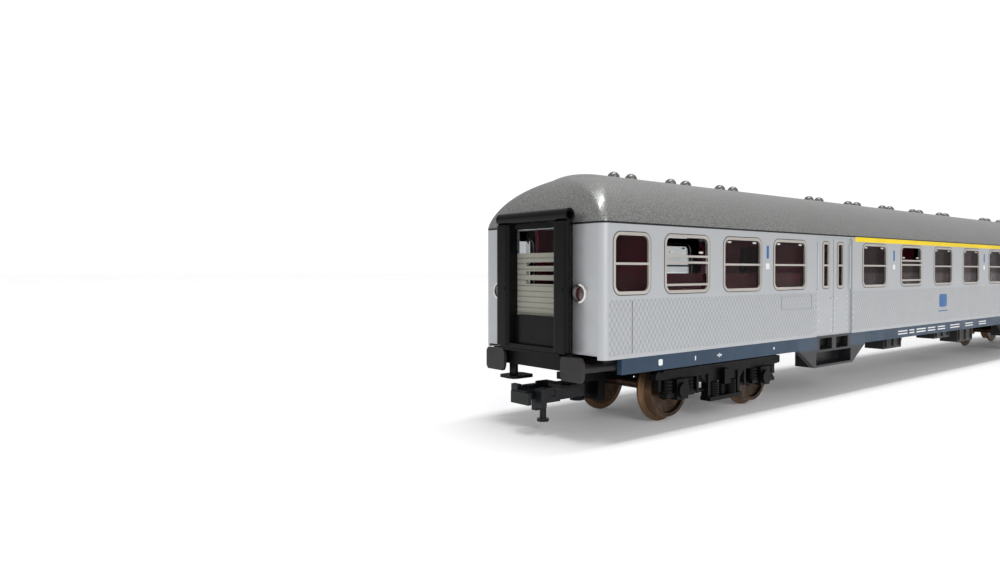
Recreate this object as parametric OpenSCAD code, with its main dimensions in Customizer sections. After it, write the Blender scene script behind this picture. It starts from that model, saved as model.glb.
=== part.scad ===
// Four-axle model passenger coach, mixed first and second class, H0 gauge.
// Millimetres, +Z up. X runs along the coach, Y across it. The origin is the middle of the
// coach on the plane that the wheel flanges stand on. The "front" end is the one at -X.

/* [Body] */
// Length of the body over the end walls
body_len = 278; // [215:1:340]
// Width of the body over the side panels
body_w = 31.5; // [31:0.1:38]
// Height of the bottom edge of the side panels above the flanges
side_z = 14.1; // [13.8:0.1:16]
// Height of the side panels
side_h = 22.9; // [21:0.1:28]
// Thickness of the side and end walls
wall_t = 1.0; // [0.8:0.1:1.3]
// Radius of the four vertical corners
corner_r = 1.4; // [1.35:0.05:3]
// Height that the end walls stop above the side panels
end_wall_lift = 0.6; // [0:0.1:1]
// Height and depth of the shadow line under the roof
shadow_line = 0.2; // [0.1:0.05:0.3]

/* [Roof] */
// Rise of the roof above the side panels
roof_rise = 9.9; // [8:0.1:13]
// Thickness of the roof shell
roof_t = 1.0; // [0.8:0.1:1.5]
// Length of the domed end of the roof
dome_len = 12.9; // [8:0.1:20]
// Diameter of a roof ventilator
vent_d = 2.5; // [1.6:0.1:3.4]
// Height of a roof ventilator
vent_h = 1.3; // [0.8:0.1:1.8]
// Distance between the two ventilators over one window
vent_gap = 5.1; // [4:0.1:6.5]

/* [Windows] */
// Height of the lower edge of the windows above the side panel edge
window_sill = 10.6; // [9.5:0.1:11.5]
// Height of the windows
window_h = 10.7; // [8.5:0.1:11]
// Width of a saloon or compartment window
window_w = 13.4; // [10:0.1:14]
// Width of a toilet window
wc_window_w = 9.6; // [7:0.1:10]
// Width of a door window
door_window_w = 3.3; // [2.4:0.1:4]
// Corner radius of the windows
window_r = 1.8; // [0.8:0.1:2.4]
// Width of the metal window frame
frame_w = 0.55; // [0.4:0.05:1]
// Width of the sash bars
bar_w = 0.4; // [0.3:0.05:0.8]
// Height of the sash bar above the lower edge of the window
bar_height = 5.3; // [4:0.1:6]
// Distance from the body end to the middle of the toilet window
wc_in = 7.0; // [6.9:0.1:8]
// Distance from the body end to the first saloon window
saloon_in = 22.1; // [21:0.1:23]
// Distance between saloon windows
saloon_pitch = 17.6; // [17:0.1:19]
// Number of saloon windows at each end
saloon_n = 3; // [2:1:3]
// Distance from the last saloon window to the middle of the doors
saloon_to_door = 19.3; // [19:0.1:20.5]
// Distance from the middle of the doors to the nearest compartment window
door_to_first = 20.0; // [19:0.1:21.5]
// Least distance between compartment windows
first_pitch_min = 19.0; // [17:0.1:21]

/* [Doors] */
// Width of the pair of doors
door_w = 16.6; // [15.5:0.1:18]
// Depth that the doors are set back
door_recess = 0.4; // [0.2:0.05:0.5]
// Distance between the two door windows
door_window_gap = 6.7; // [5.5:0.1:7.5]
// Width of the step unit at its top
step_top_w = 31.0; // [28:0.5:34]
// Width of the step unit at its bottom
step_bottom_w = 17.6; // [16:0.2:20]
// Height of the step unit below the side panels
step_drop = 6.9; // [5.5:0.1:7.2]

/* [Glazing and interior] */
// Gap all round a window pane in its opening
pane_gap = 0.1; // [0.05:0.05:0.2]
// Thickness of the glazing strip behind the wall
glazing_t = 0.8; // [0.5:0.1:1]
// Depth from the outside of the wall to the pane
pane_depth = 0.3; // [0.2:0.05:0.4]
// Height that a window frame stands out of the wall
frame_proud = 0.05; // [0:0.05:0.1]
// Thickness of the interior floor
floor_t = 0.8; // [0.6:0.1:1.2]
// Thickness of the interior partitions
partition_t = 0.8; // [0.6:0.1:1.2]
// Height of the seat backs above the floor
seat_back_h = 12.4; // [10:0.1:14]
// Width of the gangway between the seats
aisle_w = 5.0; // [4:0.1:6]
// Thickness of the ballast plate
ballast_t = 0.9; // [0.6:0.1:1.2]

/* [Underframe] */
// Thickness of the underframe plate
plate_t = 0.7; // [0.5:0.1:0.8]
// Height of the solebars
solebar_h = 2.7; // [2.2:0.1:3]
// Thickness of the solebars
solebar_t = 1.0; // [0.8:0.1:1.2]
// Distance from the body end to the solebar
solebar_in = 4.5; // [3.4:0.1:6]
// Distance of the buffers from the middle of the coach
buffer_y = 10.2; // [9.6:0.1:10.6]
// Height of the buffers above the flanges
buffer_z = 12.25; // [12:0.05:12.4]
// Distance that the buffers stand in front of the end walls
buffer_reach = 1.95; // [1.6:0.05:3]
// Width of the buffer plates
buffer_w = 5.3; // [4.8:0.1:6.4]
// Height of the buffer plates
buffer_h = 4.1; // [3.6:0.1:4.8]
// Diameter of the buffer shanks
shank_d = 1.9; // [1.4:0.1:2]

/* [Bogies] */
// Distance from the body end to the bogie pivot
bogie_in = 38.4; // [36:0.1:40]
// Distance between the two axles of a bogie
wheelbase = 28.0; // [26:0.1:29]
// Diameter of the wheel tread
tread_d = 11.0; // [10:0.1:11.1]
// Height of the flange above the tread
flange_h = 1.0; // [0.8:0.05:1.1]
// Width of a wheel over tread and flange
wheel_w = 2.8; // [2.5:0.1:2.9]
// Distance between the backs of the wheels
back_to_back = 14.3; // [14.1:0.05:14.4]
// Diameter of the axle
axle_d = 2.0; // [1.5:0.1:2.2]
// Diameter of the bearing tips of the axle
tip_d = 1.3; // [1:0.1:1.5]
// Radial clearance of the bearing tips and of the pivots
run_gap = 0.06; // [0.03:0.01:0.09]
// Thickness of the insulating bush in each wheel
bush_t = 0.5; // [0.4:0.05:0.7]
// Height of the top of the bogie bolster
bolster_z = 10.4; // [10:0.1:10.6]

/* [Gangway and coupling] */
// Half width of the passage between the rubber rolls
passage_half = 6.0; // [5:0.1:6.2]
// Half width over the rubber rolls
roll_half = 9.5; // [9:0.1:9.6]
// Depth of the rubber rolls in front of the end wall
roll_depth = 2.4; // [1.8:0.1:3]
// Diameter of the roll over the passage
top_roll_d = 2.2; // [1.8:0.1:2.6]
// Distance that the coupling stands in front of the end wall
coupler_reach = 4.6; // [4.4:0.1:6.4]
// Diameter of the coupling's pivot pin
coupler_pin_d = 1.8; // [1.4:0.1:2]

/* [Hidden] */
$fn = 48;
eps = 0.01;

SILVER = [0.74, 0.75, 0.76];
FRAME_METAL = [0.86, 0.85, 0.82];
ROOF_GREY = [0.33, 0.34, 0.34];
RAIL_BLUE = [0.18, 0.27, 0.36];
BLACK = [0.09, 0.09, 0.1];
CHARCOAL = [0.2, 0.19, 0.19];
MAROON = [0.26, 0.09, 0.11];
BRONZE = [0.36, 0.25, 0.17];
SHUTTER_GREY = [0.72, 0.71, 0.64];
CLEAR = [0.8, 0.88, 0.9, 0.35];

half_len = body_len / 2;
half_w = body_w / 2;
inner_half = half_w - wall_t;
side_top = side_z + side_h;
window_z = side_z + window_sill;
window_mid_z = window_z + window_h / 2;

// Window places. Each list holds distances from the middle of the coach.
door_in = saloon_in + (saloon_n - 1) * saloon_pitch + saloon_to_door;
door_x = half_len - door_in;
first_span = 2 * (door_x - door_to_first);
first_n = 1 + floor(first_span / first_pitch_min);
first_pitch = first_n > 1 ? first_span / (first_n - 1) : first_pitch_min;
first_end = first_span / 2 + first_pitch / 2;
saloon_xs = [for (i = [0:saloon_n - 1]) half_len - saloon_in - i * saloon_pitch];
first_xs = [for (i = [0:first_n - 1]) (i - (first_n - 1) / 2) * first_pitch];
wide_xs = concat([for (x = saloon_xs) -x], first_xs, saloon_xs);
wc_x = half_len - wc_in;

// The two windows whose upper sash is let down.
open_xs = [wide_xs[0], wide_xs[saloon_n + 1]];
open_bar_heights = [1.6, 5.6, 6.7];

// Underframe levels.
plate_top = side_z;
plate_bottom = side_z - plate_t;
solebar_bottom = side_z - solebar_h;
ballast_top = plate_top + ballast_t;
floor_top = ballast_top + floor_t;
pivot_x = half_len - bogie_in;

// Bogie and wheel levels.
wheel_r = tread_d / 2;
flange_r = wheel_r + flange_h;
axle_z = flange_r;
wheel_inner = back_to_back / 2;
wheel_outer = wheel_inner + wheel_w;
wheel_play = 0.65;
frame_inner = wheel_outer + wheel_play;
frame_t = 2.4;
frame_outer = frame_inner + frame_t;
tip_len = 1.9;
axle_half = frame_inner + tip_len - 0.25;
bush_r = axle_d / 2 + bush_t;

// Pivot of the bogies.
pin_r = 1.6;
boss_r = 4.2;
bolster_t = 1.4;
bolster_gap = 0.25;
pin_head_r = 2.8;
pin_head_t = 0.9;

// Coupling levels.
coupler_pivot_in = 9.6;
coupler_z0 = 5.5;
coupler_z1 = 8.2;
pocket_half = 3.2;

// Windows and panels.
door_window_r = 0.9;
// An upright joint in the side panels, from the body end, and a flat hatch next to each door.
panel_line = 7.0;
hatch_to_door = 10.4;
hatch_len = 12.4;
hatch_z0 = side_z + 6.4;
hatch_z1 = side_z + 9.4;

// Roof shell.
ring_corner_n = 8;
ring_rise_n = 14;
// Powers of the curves of the roof: its rise, its sides, its domed ends and their round corners.
rise_power = 1.4;
side_power = 2.05;
dome_power = 3.2;
corner_power = 1.75;

// End door and tail lamps.
end_door_half = 6.4;
end_door_top = side_top - 0.8;
lamp_y = 10.7;
lamp_z = side_z + 10.9;
lamp_r = 1.65;
lamp_spigot_r = 0.9;
lamp_proud = 0.7;
lamp_wall = 0.35;

// Glazing and interior.
glazing_end_in = 1.6;
interior_gap = 0.3;
interior_half = inner_half - glazing_t - interior_gap;
interior_end_in = wall_t + 2.6;
partition_top = side_top - 0.6;
vestibule_half = 10.3;
wc_wall_in = 13.2;
corridor_y = 5.5;
wc_room_half = 4.5;
door_light_half = 3.6;
seat_depth = 5.0;
seat_h = 4.6;
seat_back_t = 1.1;

// Underframe.
ballast_len_in = 22;
ballast_half_w = 10;
underframe_half = half_w - solebar_t - 0.15;
underframe_in = 1.2;
boss_bottom = bolster_z + bolster_gap;
socket_in = 8.6;
socket_len = 4.0;
sill_y = 5.5;
sill_drop = 1.6;
apron_t = 1.2;
apron_depth = 4.6;
step_recess_w = 5.5;
step_recess_gap = 7.5;
upper_recess = 2.2;
lower_recess = 3.2;
side_in = 0.1;
box_y0 = 8.2;
box_y1 = 13.0;
tank_r = 2.1;
tank_xs = [-6.0, 38.0];

// Gangway.
shutter_half = end_door_half - 0.15;
shutter_top = side_z + 17.9;
shutter_x = 0.1;
shutter_t = 0.7;
slat_h = 1.0;
slot_half_h = 0.33;
slot_pitch = 1.62;
slot_top_in = 2.0;
roll_top = side_top + 0.2;
roll_bottom = side_z + 0.9;
roll_lamp_gap = 0.15;
roll_r = (roll_depth - lamp_proud - roll_lamp_gap) / 2;
top_roll_half = 9.3;
plate_half = passage_half - 0.3;
bridge_top = side_z + 6.7;

// Headstock and buffers.
headstock_half = 8.9;
headstock_t = 1.6;
step_y = 7.0;
step_z = 9.45;
step_t = 0.5;
step_clear = 0.2;
buffer_plate_t = 1.0;

// Bogie side.
axle_in = wheelbase / 2;
beam_z0 = 8.6;
beam_z1 = 10.6;
mid_z = beam_z0 - 1.6;
frame_mid = (frame_inner + frame_outer) / 2;
head_room = 1.4;
head_room_half = 5.2;
tongue_x = coupler_pivot_in - bogie_in;

// Coupling head.
hook_pivot_x = 0.9;
hook_pivot_z = 7.1;
hook_pin_r = 0.55;
claw_half = 2.9;
slot_half = 1.35;
foot_z = 1.7;

// ---------------------------------------------------------------- shared shapes

// A rectangle with round corners, centred.
module round_rect(w, h, r) {
    square([w - 2 * r, h], center = true);
    square([w, h - 2 * r], center = true);
    for (i = [-1, 1])
        for (j = [-1, 1])
            translate([i * (w / 2 - r), j * (h / 2 - r)])
                circle(r);
}

// The children as drawn for side 1, and mirrored to the other side for side -1.
module on_hand(side) {
    mirror([0, side < 0 ? 1 : 0, 0])
        children();
}

// A block between two opposite corners.
module block(lo, hi) {
    translate(lo)
        cube(hi - lo);
}

// Places the children at the front end or, turned about Z, at the rear end.
// In them, x = 0 is the outside of the end wall and +x points into the coach.
module at_end(rear) {
    rotate(rear ? 180 : 0)
        translate([-half_len, 0, 0])
            children();
}

// Stands an outline drawn in X and Z on the side wall: it is extruded from y0 outwards to y1.
module on_side(y0, y1) {
    translate([0, y1, 0])
        rotate([90, 0, 0])
            linear_extrude(y1 - y0)
                children();
}

// One window outline in X and Z, made smaller all round by inset.
module window_outline(x, w, inset = 0, r = window_r) {
    translate([x, window_mid_z])
        round_rect(w - 2 * inset, window_h - 2 * inset, max(r - inset, 0.3));
}

// Every window outline of one side.
module all_windows(inset = 0) {
    for (x = wide_xs)
        window_outline(x, window_w, inset);
    for (s = [-1, 1])
        window_outline(s * wc_x, wc_window_w, inset);
    for (s = [-1, 1])
        for (d = [-1, 1])
            window_outline(s * door_x + d * door_window_gap / 2, door_window_w, inset, door_window_r);
}

// ---------------------------------------------------------------- body

// Everything that is cut out of one side wall, drawn on the +Y side.
module side_cuts() {
    on_side(inner_half - eps, half_w + 1)
        all_windows();
    for (s = [-1, 1])
        translate([s * door_x, 0, 0])
            door_cut();
    for (s = [-1, 1]) {
        block([s * (half_len - panel_line) - 0.12, half_w - 0.15, side_z + 0.8],
              [s * (half_len - panel_line) + 0.12, half_w + 1, window_z - 0.9]);
        on_side(half_w - 0.12, half_w + 1)
            translate([s * (door_x + hatch_to_door + hatch_len / 2), (hatch_z0 + hatch_z1) / 2])
                difference() {
                    square([hatch_len, hatch_z1 - hatch_z0], center = true);
                    square([hatch_len - 0.3, hatch_z1 - hatch_z0 - 0.3], center = true);
                }
    }
}

// The recess of one pair of folding doors with their meeting line.
module door_cut() {
    door_top = side_top - 0.7;
    line_depth = door_recess + 0.15;
    block([-door_w / 2, half_w - door_recess, side_z - 1], [door_w / 2, half_w + 1, door_top]);
    block([-0.1, half_w - line_depth, side_z + 0.6], [0.1, half_w + 1, door_top - 0.4]);
}

// The opening in an end wall for the gangway door, and a seat for each tail lamp.
module end_cuts() {
    block([-1, -end_door_half, side_z + end_wall_lift - eps], [wall_t + 1, end_door_half, end_door_top]);
    for (s = [-1, 1])
        translate([-1, s * lamp_y, lamp_z])
            rotate([0, 90, 0])
                cylinder(r = lamp_spigot_r, h = wall_t + 2);
    block([-1, -half_w + corner_r, side_z - 1], [wall_t + eps, half_w - corner_r, side_z + end_wall_lift]);
}

module body_shell() {
    color(SILVER)
        difference() {
            translate([0, 0, side_z])
                linear_extrude(side_h)
                    round_rect(body_len, body_w, corner_r);
            translate([0, 0, side_z - 1])
                linear_extrude(side_h + 2)
                    round_rect(body_len - 2 * wall_t, body_w - 2 * wall_t, corner_r - wall_t);
            translate([0, 0, side_top - shadow_line])
                linear_extrude(shadow_line + 1)
                    difference() {
                        square([body_len + 2, body_w + 2], center = true);
                        round_rect(body_len - 2 * shadow_line, body_w - 2 * shadow_line,
                                   corner_r - shadow_line);
                    }
            for (m = [0, 1])
                mirror([0, m, 0])
                    side_cuts();
            for (rear = [false, true])
                at_end(rear)
                    end_cuts();
        }
}

// ---------------------------------------------------------------- roof

// The roof is one smooth shell. A ring of points runs round the shell at each step of its
// rise: the rings shrink towards the ridge, along the sides and round both domed ends.

// How far a ring at angle a has moved in from the wall, and how far it has risen, from 0 to 1.
function roof_in(a, power) = 1 - pow(cos(a), 2 / power);
function roof_up(a) = pow(sin(a), 2 / rise_power);

// One ring: a rounded rectangle, len long and w wide, at height z.
function roof_ring(len, w, r, z) = [
    for (q = [0:3])
        for (i = [0:ring_corner_n])
            let (a = 90 * q + 90 * i / ring_corner_n,
                 sx = (q == 0 || q == 3) ? 1 : -1,
                 sy = (q < 2) ? 1 : -1)
                [sx * (len / 2 - r) + r * cos(a), sy * (w / 2 - r) + r * sin(a), z]
];

// All rings of a surface that lies t inside the outer one.
function roof_rings(t) = [
    for (k = [0:ring_rise_n])
        let (a = 89 * k / ring_rise_n,
             in = roof_in(a, side_power),
             w = (body_w - 2 * t) * (1 - in),
             len = body_len - 2 * t - 2 * dome_len * roof_in(a, dome_power),
             r = min(w / 2 - 0.01, corner_r - t / 2 + (half_w - corner_r) * pow(in, corner_power)))
            roof_ring(len, w, r, side_top + (roof_rise - t) * roof_up(a))
];

module roof() {
    rings = concat(roof_rings(0), [for (k = [ring_rise_n:-1:0]) roof_rings(roof_t)[k]]);
    n = len(rings[0]);
    last = ring_rise_n;
    outer = [for (k = [0:last - 1]) for (i = [0:n - 1])
        [k * n + i, (k + 1) * n + i, (k + 1) * n + (i + 1) % n, k * n + (i + 1) % n]];
    inner = [for (k = [last + 1:2 * last]) for (i = [0:n - 1])
        [k * n + i, (k + 1) * n + i, (k + 1) * n + (i + 1) % n, k * n + (i + 1) % n]];
    rim = [for (i = [0:n - 1])
        [(2 * last + 1) * n + i, i, (i + 1) % n, (2 * last + 1) * n + (i + 1) % n]];
    top = [[for (i = [n - 1:-1:0]) last * n + i]];
    ceiling = [[for (i = [0:n - 1]) (last + 1) * n + i]];
    color(ROOF_GREY)
        polyhedron([for (ring = rings) for (p = ring) p], concat(outer, inner, rim, top, ceiling));
}

// Two low round ventilators over every saloon and compartment window.
module roof_ventilators() {
    vent_sphere_r = (pow(vent_d / 2, 2) + pow(vent_h, 2)) / (2 * vent_h);
    color(ROOF_GREY)
        for (x = wide_xs)
            for (d = [-1, 1])
                translate([x + d * vent_gap / 2, 0, side_top + roof_rise])
                    intersection() {
                        translate([0, 0, vent_h - vent_sphere_r])
                            sphere(vent_sphere_r);
                        cylinder(d = vent_d + 1, h = vent_h + 1);
                    }
}

// ---------------------------------------------------------------- windows

// The sash bars of one window, as flat bars in X and Z.
module bars(x, w, heights) {
    for (h = heights)
        translate([x, window_z + h])
            square([w - frame_w, bar_w], center = true);
}

// One frame: a ring that follows the window outline.
module frame_ring(x, w, r = window_r) {
    difference() {
        window_outline(x, w, pane_gap, r);
        window_outline(x, w, pane_gap + frame_w, r);
    }
}

module window_frames() {
    on_side(half_w - pane_depth, half_w + frame_proud) {
        for (x = wide_xs) {
            is_open = len([for (o = open_xs) if (abs(o - x) < 1) o]) > 0;
            frame_ring(x, window_w);
            bars(x, window_w, is_open ? open_bar_heights : [bar_height]);
        }
        for (s = [-1, 1]) {
            frame_ring(s * wc_x, wc_window_w);
            bars(s * wc_x, wc_window_w, [bar_height]);
        }
    }
    on_side(half_w - door_recess - pane_depth, half_w - door_recess + frame_proud)
        for (s = [-1, 1])
            for (d = [-1, 1]) {
                x = s * door_x + d * door_window_gap / 2;
                door_frame_w = 0.55;
                difference() {
                    window_outline(x, door_window_w, pane_gap, door_window_r);
                    window_outline(x, door_window_w, pane_gap + door_frame_w, door_window_r);
                }
                bars(x, door_window_w - pane_gap, [bar_height]);
            }
}

module window_frames_left() {
    color(FRAME_METAL)
        window_frames();
}

module window_frames_right() {
    color(FRAME_METAL)
        mirror([0, 1, 0])
            window_frames();
}

// A clear strip behind each side with a pane that fills each opening.
module glazing() {
    strip_z0 = window_z - 1.2;
    strip_z1 = min(window_z + window_h + 1.2, side_top - 0.3);
    strip_half = half_len - wall_t - glazing_end_in;
    difference() {
        union() {
            block([-strip_half, inner_half - glazing_t, strip_z0], [strip_half, inner_half, strip_z1]);
            on_side(inner_half - eps, half_w - door_recess - pane_depth)
                all_windows(pane_gap);
            on_side(inner_half - eps, half_w - pane_depth) {
                for (x = wide_xs)
                    window_outline(x, window_w, pane_gap);
                for (s = [-1, 1])
                    window_outline(s * wc_x, wc_window_w, pane_gap);
            }
        }
        for (x = open_xs)
            on_side(inner_half - glazing_t - 1, half_w + 1)
                intersection() {
                    window_outline(x, window_w, pane_gap + frame_w);
                    translate([x, window_z + open_bar_heights[2] + bar_w / 2 + window_h / 2])
                        square([window_w, window_h], center = true);
                }
    }
}

module glazing_left() {
    color(CLEAR)
        glazing();
}

module glazing_right() {
    color(CLEAR)
        mirror([0, 1, 0])
            glazing();
}

// ---------------------------------------------------------------- interior

// A full-height partition across the coach, with a doorway in the middle.
module cross_wall(x, y0, y1, doorway) {
    difference() {
        block([x - partition_t / 2, y0, floor_top - eps], [x + partition_t / 2, y1, partition_top]);
        if (doorway)
            block([x - partition_t, -aisle_w / 2, floor_top],
                  [x + partition_t, aisle_w / 2, partition_top - 2]);
    }
}

module interior_moulding() {
    color(MAROON) {
        block([-half_len + interior_end_in, -interior_half, ballast_top],
              [half_len - interior_end_in, interior_half, floor_top]);
        for (s = [-1, 1]) {
            cross_wall(s * (half_len - wc_wall_in), -interior_half, interior_half, true);
            cross_wall(s * (door_x + vestibule_half), -interior_half, interior_half, true);
            cross_wall(s * first_end, -interior_half, interior_half, true);
            for (y = [-1, 1])
                block([s > 0 ? half_len - wc_wall_in : -half_len + interior_end_in,
                       y * wc_room_half - partition_t / 2, floor_top - eps],
                      [s > 0 ? half_len - interior_end_in : -half_len + wc_wall_in,
                       y * wc_room_half + partition_t / 2, partition_top]);
        }
        for (i = [0:first_n - 2])
            cross_wall((first_xs[i] + first_xs[i + 1]) / 2, -interior_half, corridor_y, false);
        difference() {
            block([-first_end, corridor_y - partition_t / 2, floor_top - eps],
                  [first_end, corridor_y + partition_t / 2, partition_top]);
            for (x = first_xs)
                block([x - door_light_half, corridor_y - 1, floor_top + 4],
                      [x + door_light_half, corridor_y + 1, partition_top - 2.5]);
        }
    }
}

// One bench: a cushion and a back, with the back at x and the cushion towards +x or -x.
module bench(x, dir, y0, y1) {
    gap = 0.1;
    x1 = x + dir * gap;
    x2 = x + dir * (gap + seat_back_t);
    x3 = x + dir * (gap + seat_back_t + seat_depth);
    block([min(x1, x2), y0, floor_top], [max(x1, x2), y1, floor_top + seat_back_h]);
    block([min(x2, x3), y0, floor_top], [max(x2, x3), y1, floor_top + seat_h]);
}

module seats() {
    color(MAROON) {
        for (s = [-1, 1])
            for (i = [0:saloon_n - 1])
                for (d = [-1, 1])
                    for (y = [-1, 1])
                        bench(s * saloon_xs[i] + d * (saloon_pitch / 2 - 0.6), -d,
                              y > 0 ? aisle_w / 2 : -interior_half + 0.1,
                              y > 0 ? interior_half - 0.1 : -aisle_w / 2);
        for (x = first_xs)
            for (d = [-1, 1])
                bench(x + d * (first_pitch / 2 - partition_t / 2), -d,
                      -interior_half + 0.1, corridor_y - partition_t / 2 - 0.2);
    }
}

// ---------------------------------------------------------------- underframe

module ballast_plate() {
    color([0.45, 0.46, 0.47])
        block([-half_len + ballast_len_in, -ballast_half_w, plate_top],
              [half_len - ballast_len_in, ballast_half_w, ballast_top]);
}

// The black plate under the floor, with a boss over each bogie and the buffer sockets.
module underframe() {
    color(BLACK)
        difference() {
            union() {
                block([-half_len + underframe_in, -underframe_half, plate_bottom],
                      [half_len - underframe_in, underframe_half, plate_top]);
                for (s = [-1, 1])
                    translate([s * pivot_x, 0, boss_bottom])
                        cylinder(r = boss_r, h = plate_bottom - boss_bottom + eps);
                for (rear = [false, true])
                    at_end(rear)
                        for (s = [-1, 1])
                            translate([0, s * buffer_y, 0])
                                block([socket_in, -shank_d / 2 - 0.8, buffer_z - shank_d / 2 - 0.3],
                                      [socket_in + socket_len, shank_d / 2 + 0.8, plate_bottom + eps]);
                centre_sill();
            }
            for (s = [-1, 1])
                translate([s * pivot_x, 0, boss_bottom - 1])
                    cylinder(r = pin_r, h = plate_top - boss_bottom + 2);
            for (rear = [false, true])
                at_end(rear)
                    for (s = [-1, 1])
                        translate([socket_in - 1, s * buffer_y, buffer_z])
                            rotate([0, 90, 0])
                                cylinder(d = shank_d, h = socket_len);
        }
}

// Two long channels between the bogies, under the plate.
module centre_sill() {
    sill_half = pivot_x - wheelbase / 2 - flange_r - 5.5;
    for (s = [-1, 1])
        block([-sill_half, s * sill_y - 0.6, plate_bottom - sill_drop],
              [sill_half, s * sill_y + 0.6, plate_bottom + eps]);
}

// A blue solebar along each side, between the step units.
module solebar() {
    difference() {
        block([-half_len + solebar_in, half_w - side_in - solebar_t, solebar_bottom],
              [half_len - solebar_in, half_w - side_in, side_z]);
        for (s = [-1, 1])
            translate([s * door_x, 0, 0])
                block([-step_top_w / 2, half_w - side_in - solebar_t - 1, solebar_bottom - 1],
                      [step_top_w / 2, half_w + 1, side_z + 1]);
    }
}

module solebar_left() {
    color(RAIL_BLUE)
        solebar();
}

module solebar_right() {
    color(RAIL_BLUE)
        mirror([0, 1, 0])
            solebar();
}

// A step unit under each pair of doors: a tapered apron in front of a box, with two upper
// recesses and a long lower one.
module step_unit(sx, sy) {
    bottom = side_z - step_drop;
    outer = half_w - side_in;
    upper_z0 = solebar_bottom - 0.3;
    upper_z1 = side_z - 0.45;
    lower_z1 = solebar_bottom - 0.8;
    lower_half = step_bottom_w / 2 - 0.8;
    on_hand(sy)
        translate([sx * door_x, 0, 0])
            difference() {
                union() {
                    on_side(outer - apron_t, outer)
                        polygon([[-step_top_w / 2, plate_bottom], [-step_top_w / 2, solebar_bottom],
                                 [-step_bottom_w / 2, bottom], [step_bottom_w / 2, bottom],
                                 [step_top_w / 2, solebar_bottom], [step_top_w / 2, plate_bottom]]);
                    block([-step_bottom_w / 2, outer - apron_depth, bottom],
                          [step_bottom_w / 2, outer - apron_t + eps, solebar_bottom + 0.4]);
                    // The strip that joins the apron to the side panel above it.
                    block([-step_top_w / 2, outer - solebar_t, plate_bottom - eps],
                          [step_top_w / 2, outer, side_z]);
                }
                for (d = [-1, 1])
                    translate([d * step_recess_gap / 2, 0, 0])
                        block([-step_recess_w / 2, outer - upper_recess, upper_z0],
                              [step_recess_w / 2, outer + 1, upper_z1]);
                block([-lower_half, outer - lower_recess, bottom + 0.5], [lower_half, outer + 1, lower_z1]);
            }
}

module door_steps_front_left() {
    color(RAIL_BLUE)
        step_unit(-1, 1);
}

module door_steps_front_right() {
    color(RAIL_BLUE)
        step_unit(-1, -1);
}

module door_steps_rear_left() {
    color(RAIL_BLUE)
        step_unit(1, 1);
}

module door_steps_rear_right() {
    color(RAIL_BLUE)
        step_unit(1, -1);
}

// Battery and control boxes between the bogies, the same on both sides.
module equipment_boxes() {
    color(CHARCOAL)
        for (s = [-1, 1])
            on_hand(s) {
                equipment_box(1.4, 12.4, 4.2);
                equipment_box(18.6, 30.8, 6.2);
                equipment_box(-31.0, -20.4, 5.0);
            }
}

// One box from x0 to x1 that hangs down by drop, with three lid straps.
module equipment_box(x0, x1, drop) {
    strap_t = 0.35;
    strap_half = 0.25;
    strap_in = 1.2;
    bottom = plate_bottom - drop;
    block([x0, box_y0, bottom], [x1, box_y1, plate_bottom]);
    for (x = [x0 + strap_in, (x0 + x1) / 2, x1 - strap_in])
        block([x - strap_half, box_y1 - eps, bottom + 0.5],
              [x + strap_half, box_y1 + strap_t, plate_bottom - 1.4]);
}

// Brake air tanks across the underframe, each in two straps.
module air_tanks() {
    tank_half = 6.4;
    tank_z = plate_bottom - sill_drop - tank_r - 0.2;
    color(BLACK)
        for (x = tank_xs) {
            translate([x, -tank_half, tank_z])
                rotate([-90, 0, 0])
                    cylinder(r = tank_r, h = 2 * tank_half);
            for (y = [-3.4, 3.4])
                block([x - 0.5, y - 0.5, tank_z], [x + 0.5, y + 0.5, plate_bottom]);
        }
}

// ---------------------------------------------------------------- ends

// The grey roller shutter that closes the gangway door, with its air slots.
module roller_shutter() {
    slot_left_in = 2.6;
    slot_right_in = 0.6;
    groove = 0.09;
    color(SHUTTER_GREY)
        difference() {
            block([shutter_x, -shutter_half, side_z + end_wall_lift],
                  [shutter_x + shutter_t, shutter_half, shutter_top]);
            for (z = [side_z + 2 * slat_h:slat_h:shutter_top - slat_h / 2])
                block([-1, -shutter_half - 1, z - groove], [shutter_x + 0.15, shutter_half + 1, z + groove]);
            for (k = [0:2])
                translate([0, 0, shutter_top - slot_top_in - k * slot_pitch])
                    block([-1, -shutter_half + slot_right_in, -slot_half_h],
                          [2, shutter_half - slot_left_in, slot_half_h]);
        }
}

module roller_shutter_front() {
    at_end(false)
        roller_shutter();
}

module roller_shutter_rear() {
    at_end(true)
        roller_shutter();
}

// The clear door window over the shutter, with a frame round its inner light.
module end_window() {
    pane_x0 = 0.25;
    pane_x1 = 0.75;
    light_half = 2.7;
    light_frame = 0.7;
    light_top = end_door_top - 0.9;
    color(CLEAR) {
        block([pane_x0, -shutter_half, shutter_top], [pane_x1, shutter_half, end_door_top]);
        difference() {
            block([pane_x0 - 0.2, -light_half - light_frame, shutter_top],
                  [pane_x0, light_half + light_frame, light_top]);
            block([-1, -light_half, shutter_top - 1], [1, light_half, light_top - light_frame]);
        }
    }
}

module end_window_front() {
    at_end(false)
        end_window();
}

module end_window_rear() {
    at_end(true)
        end_window();
}

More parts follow.
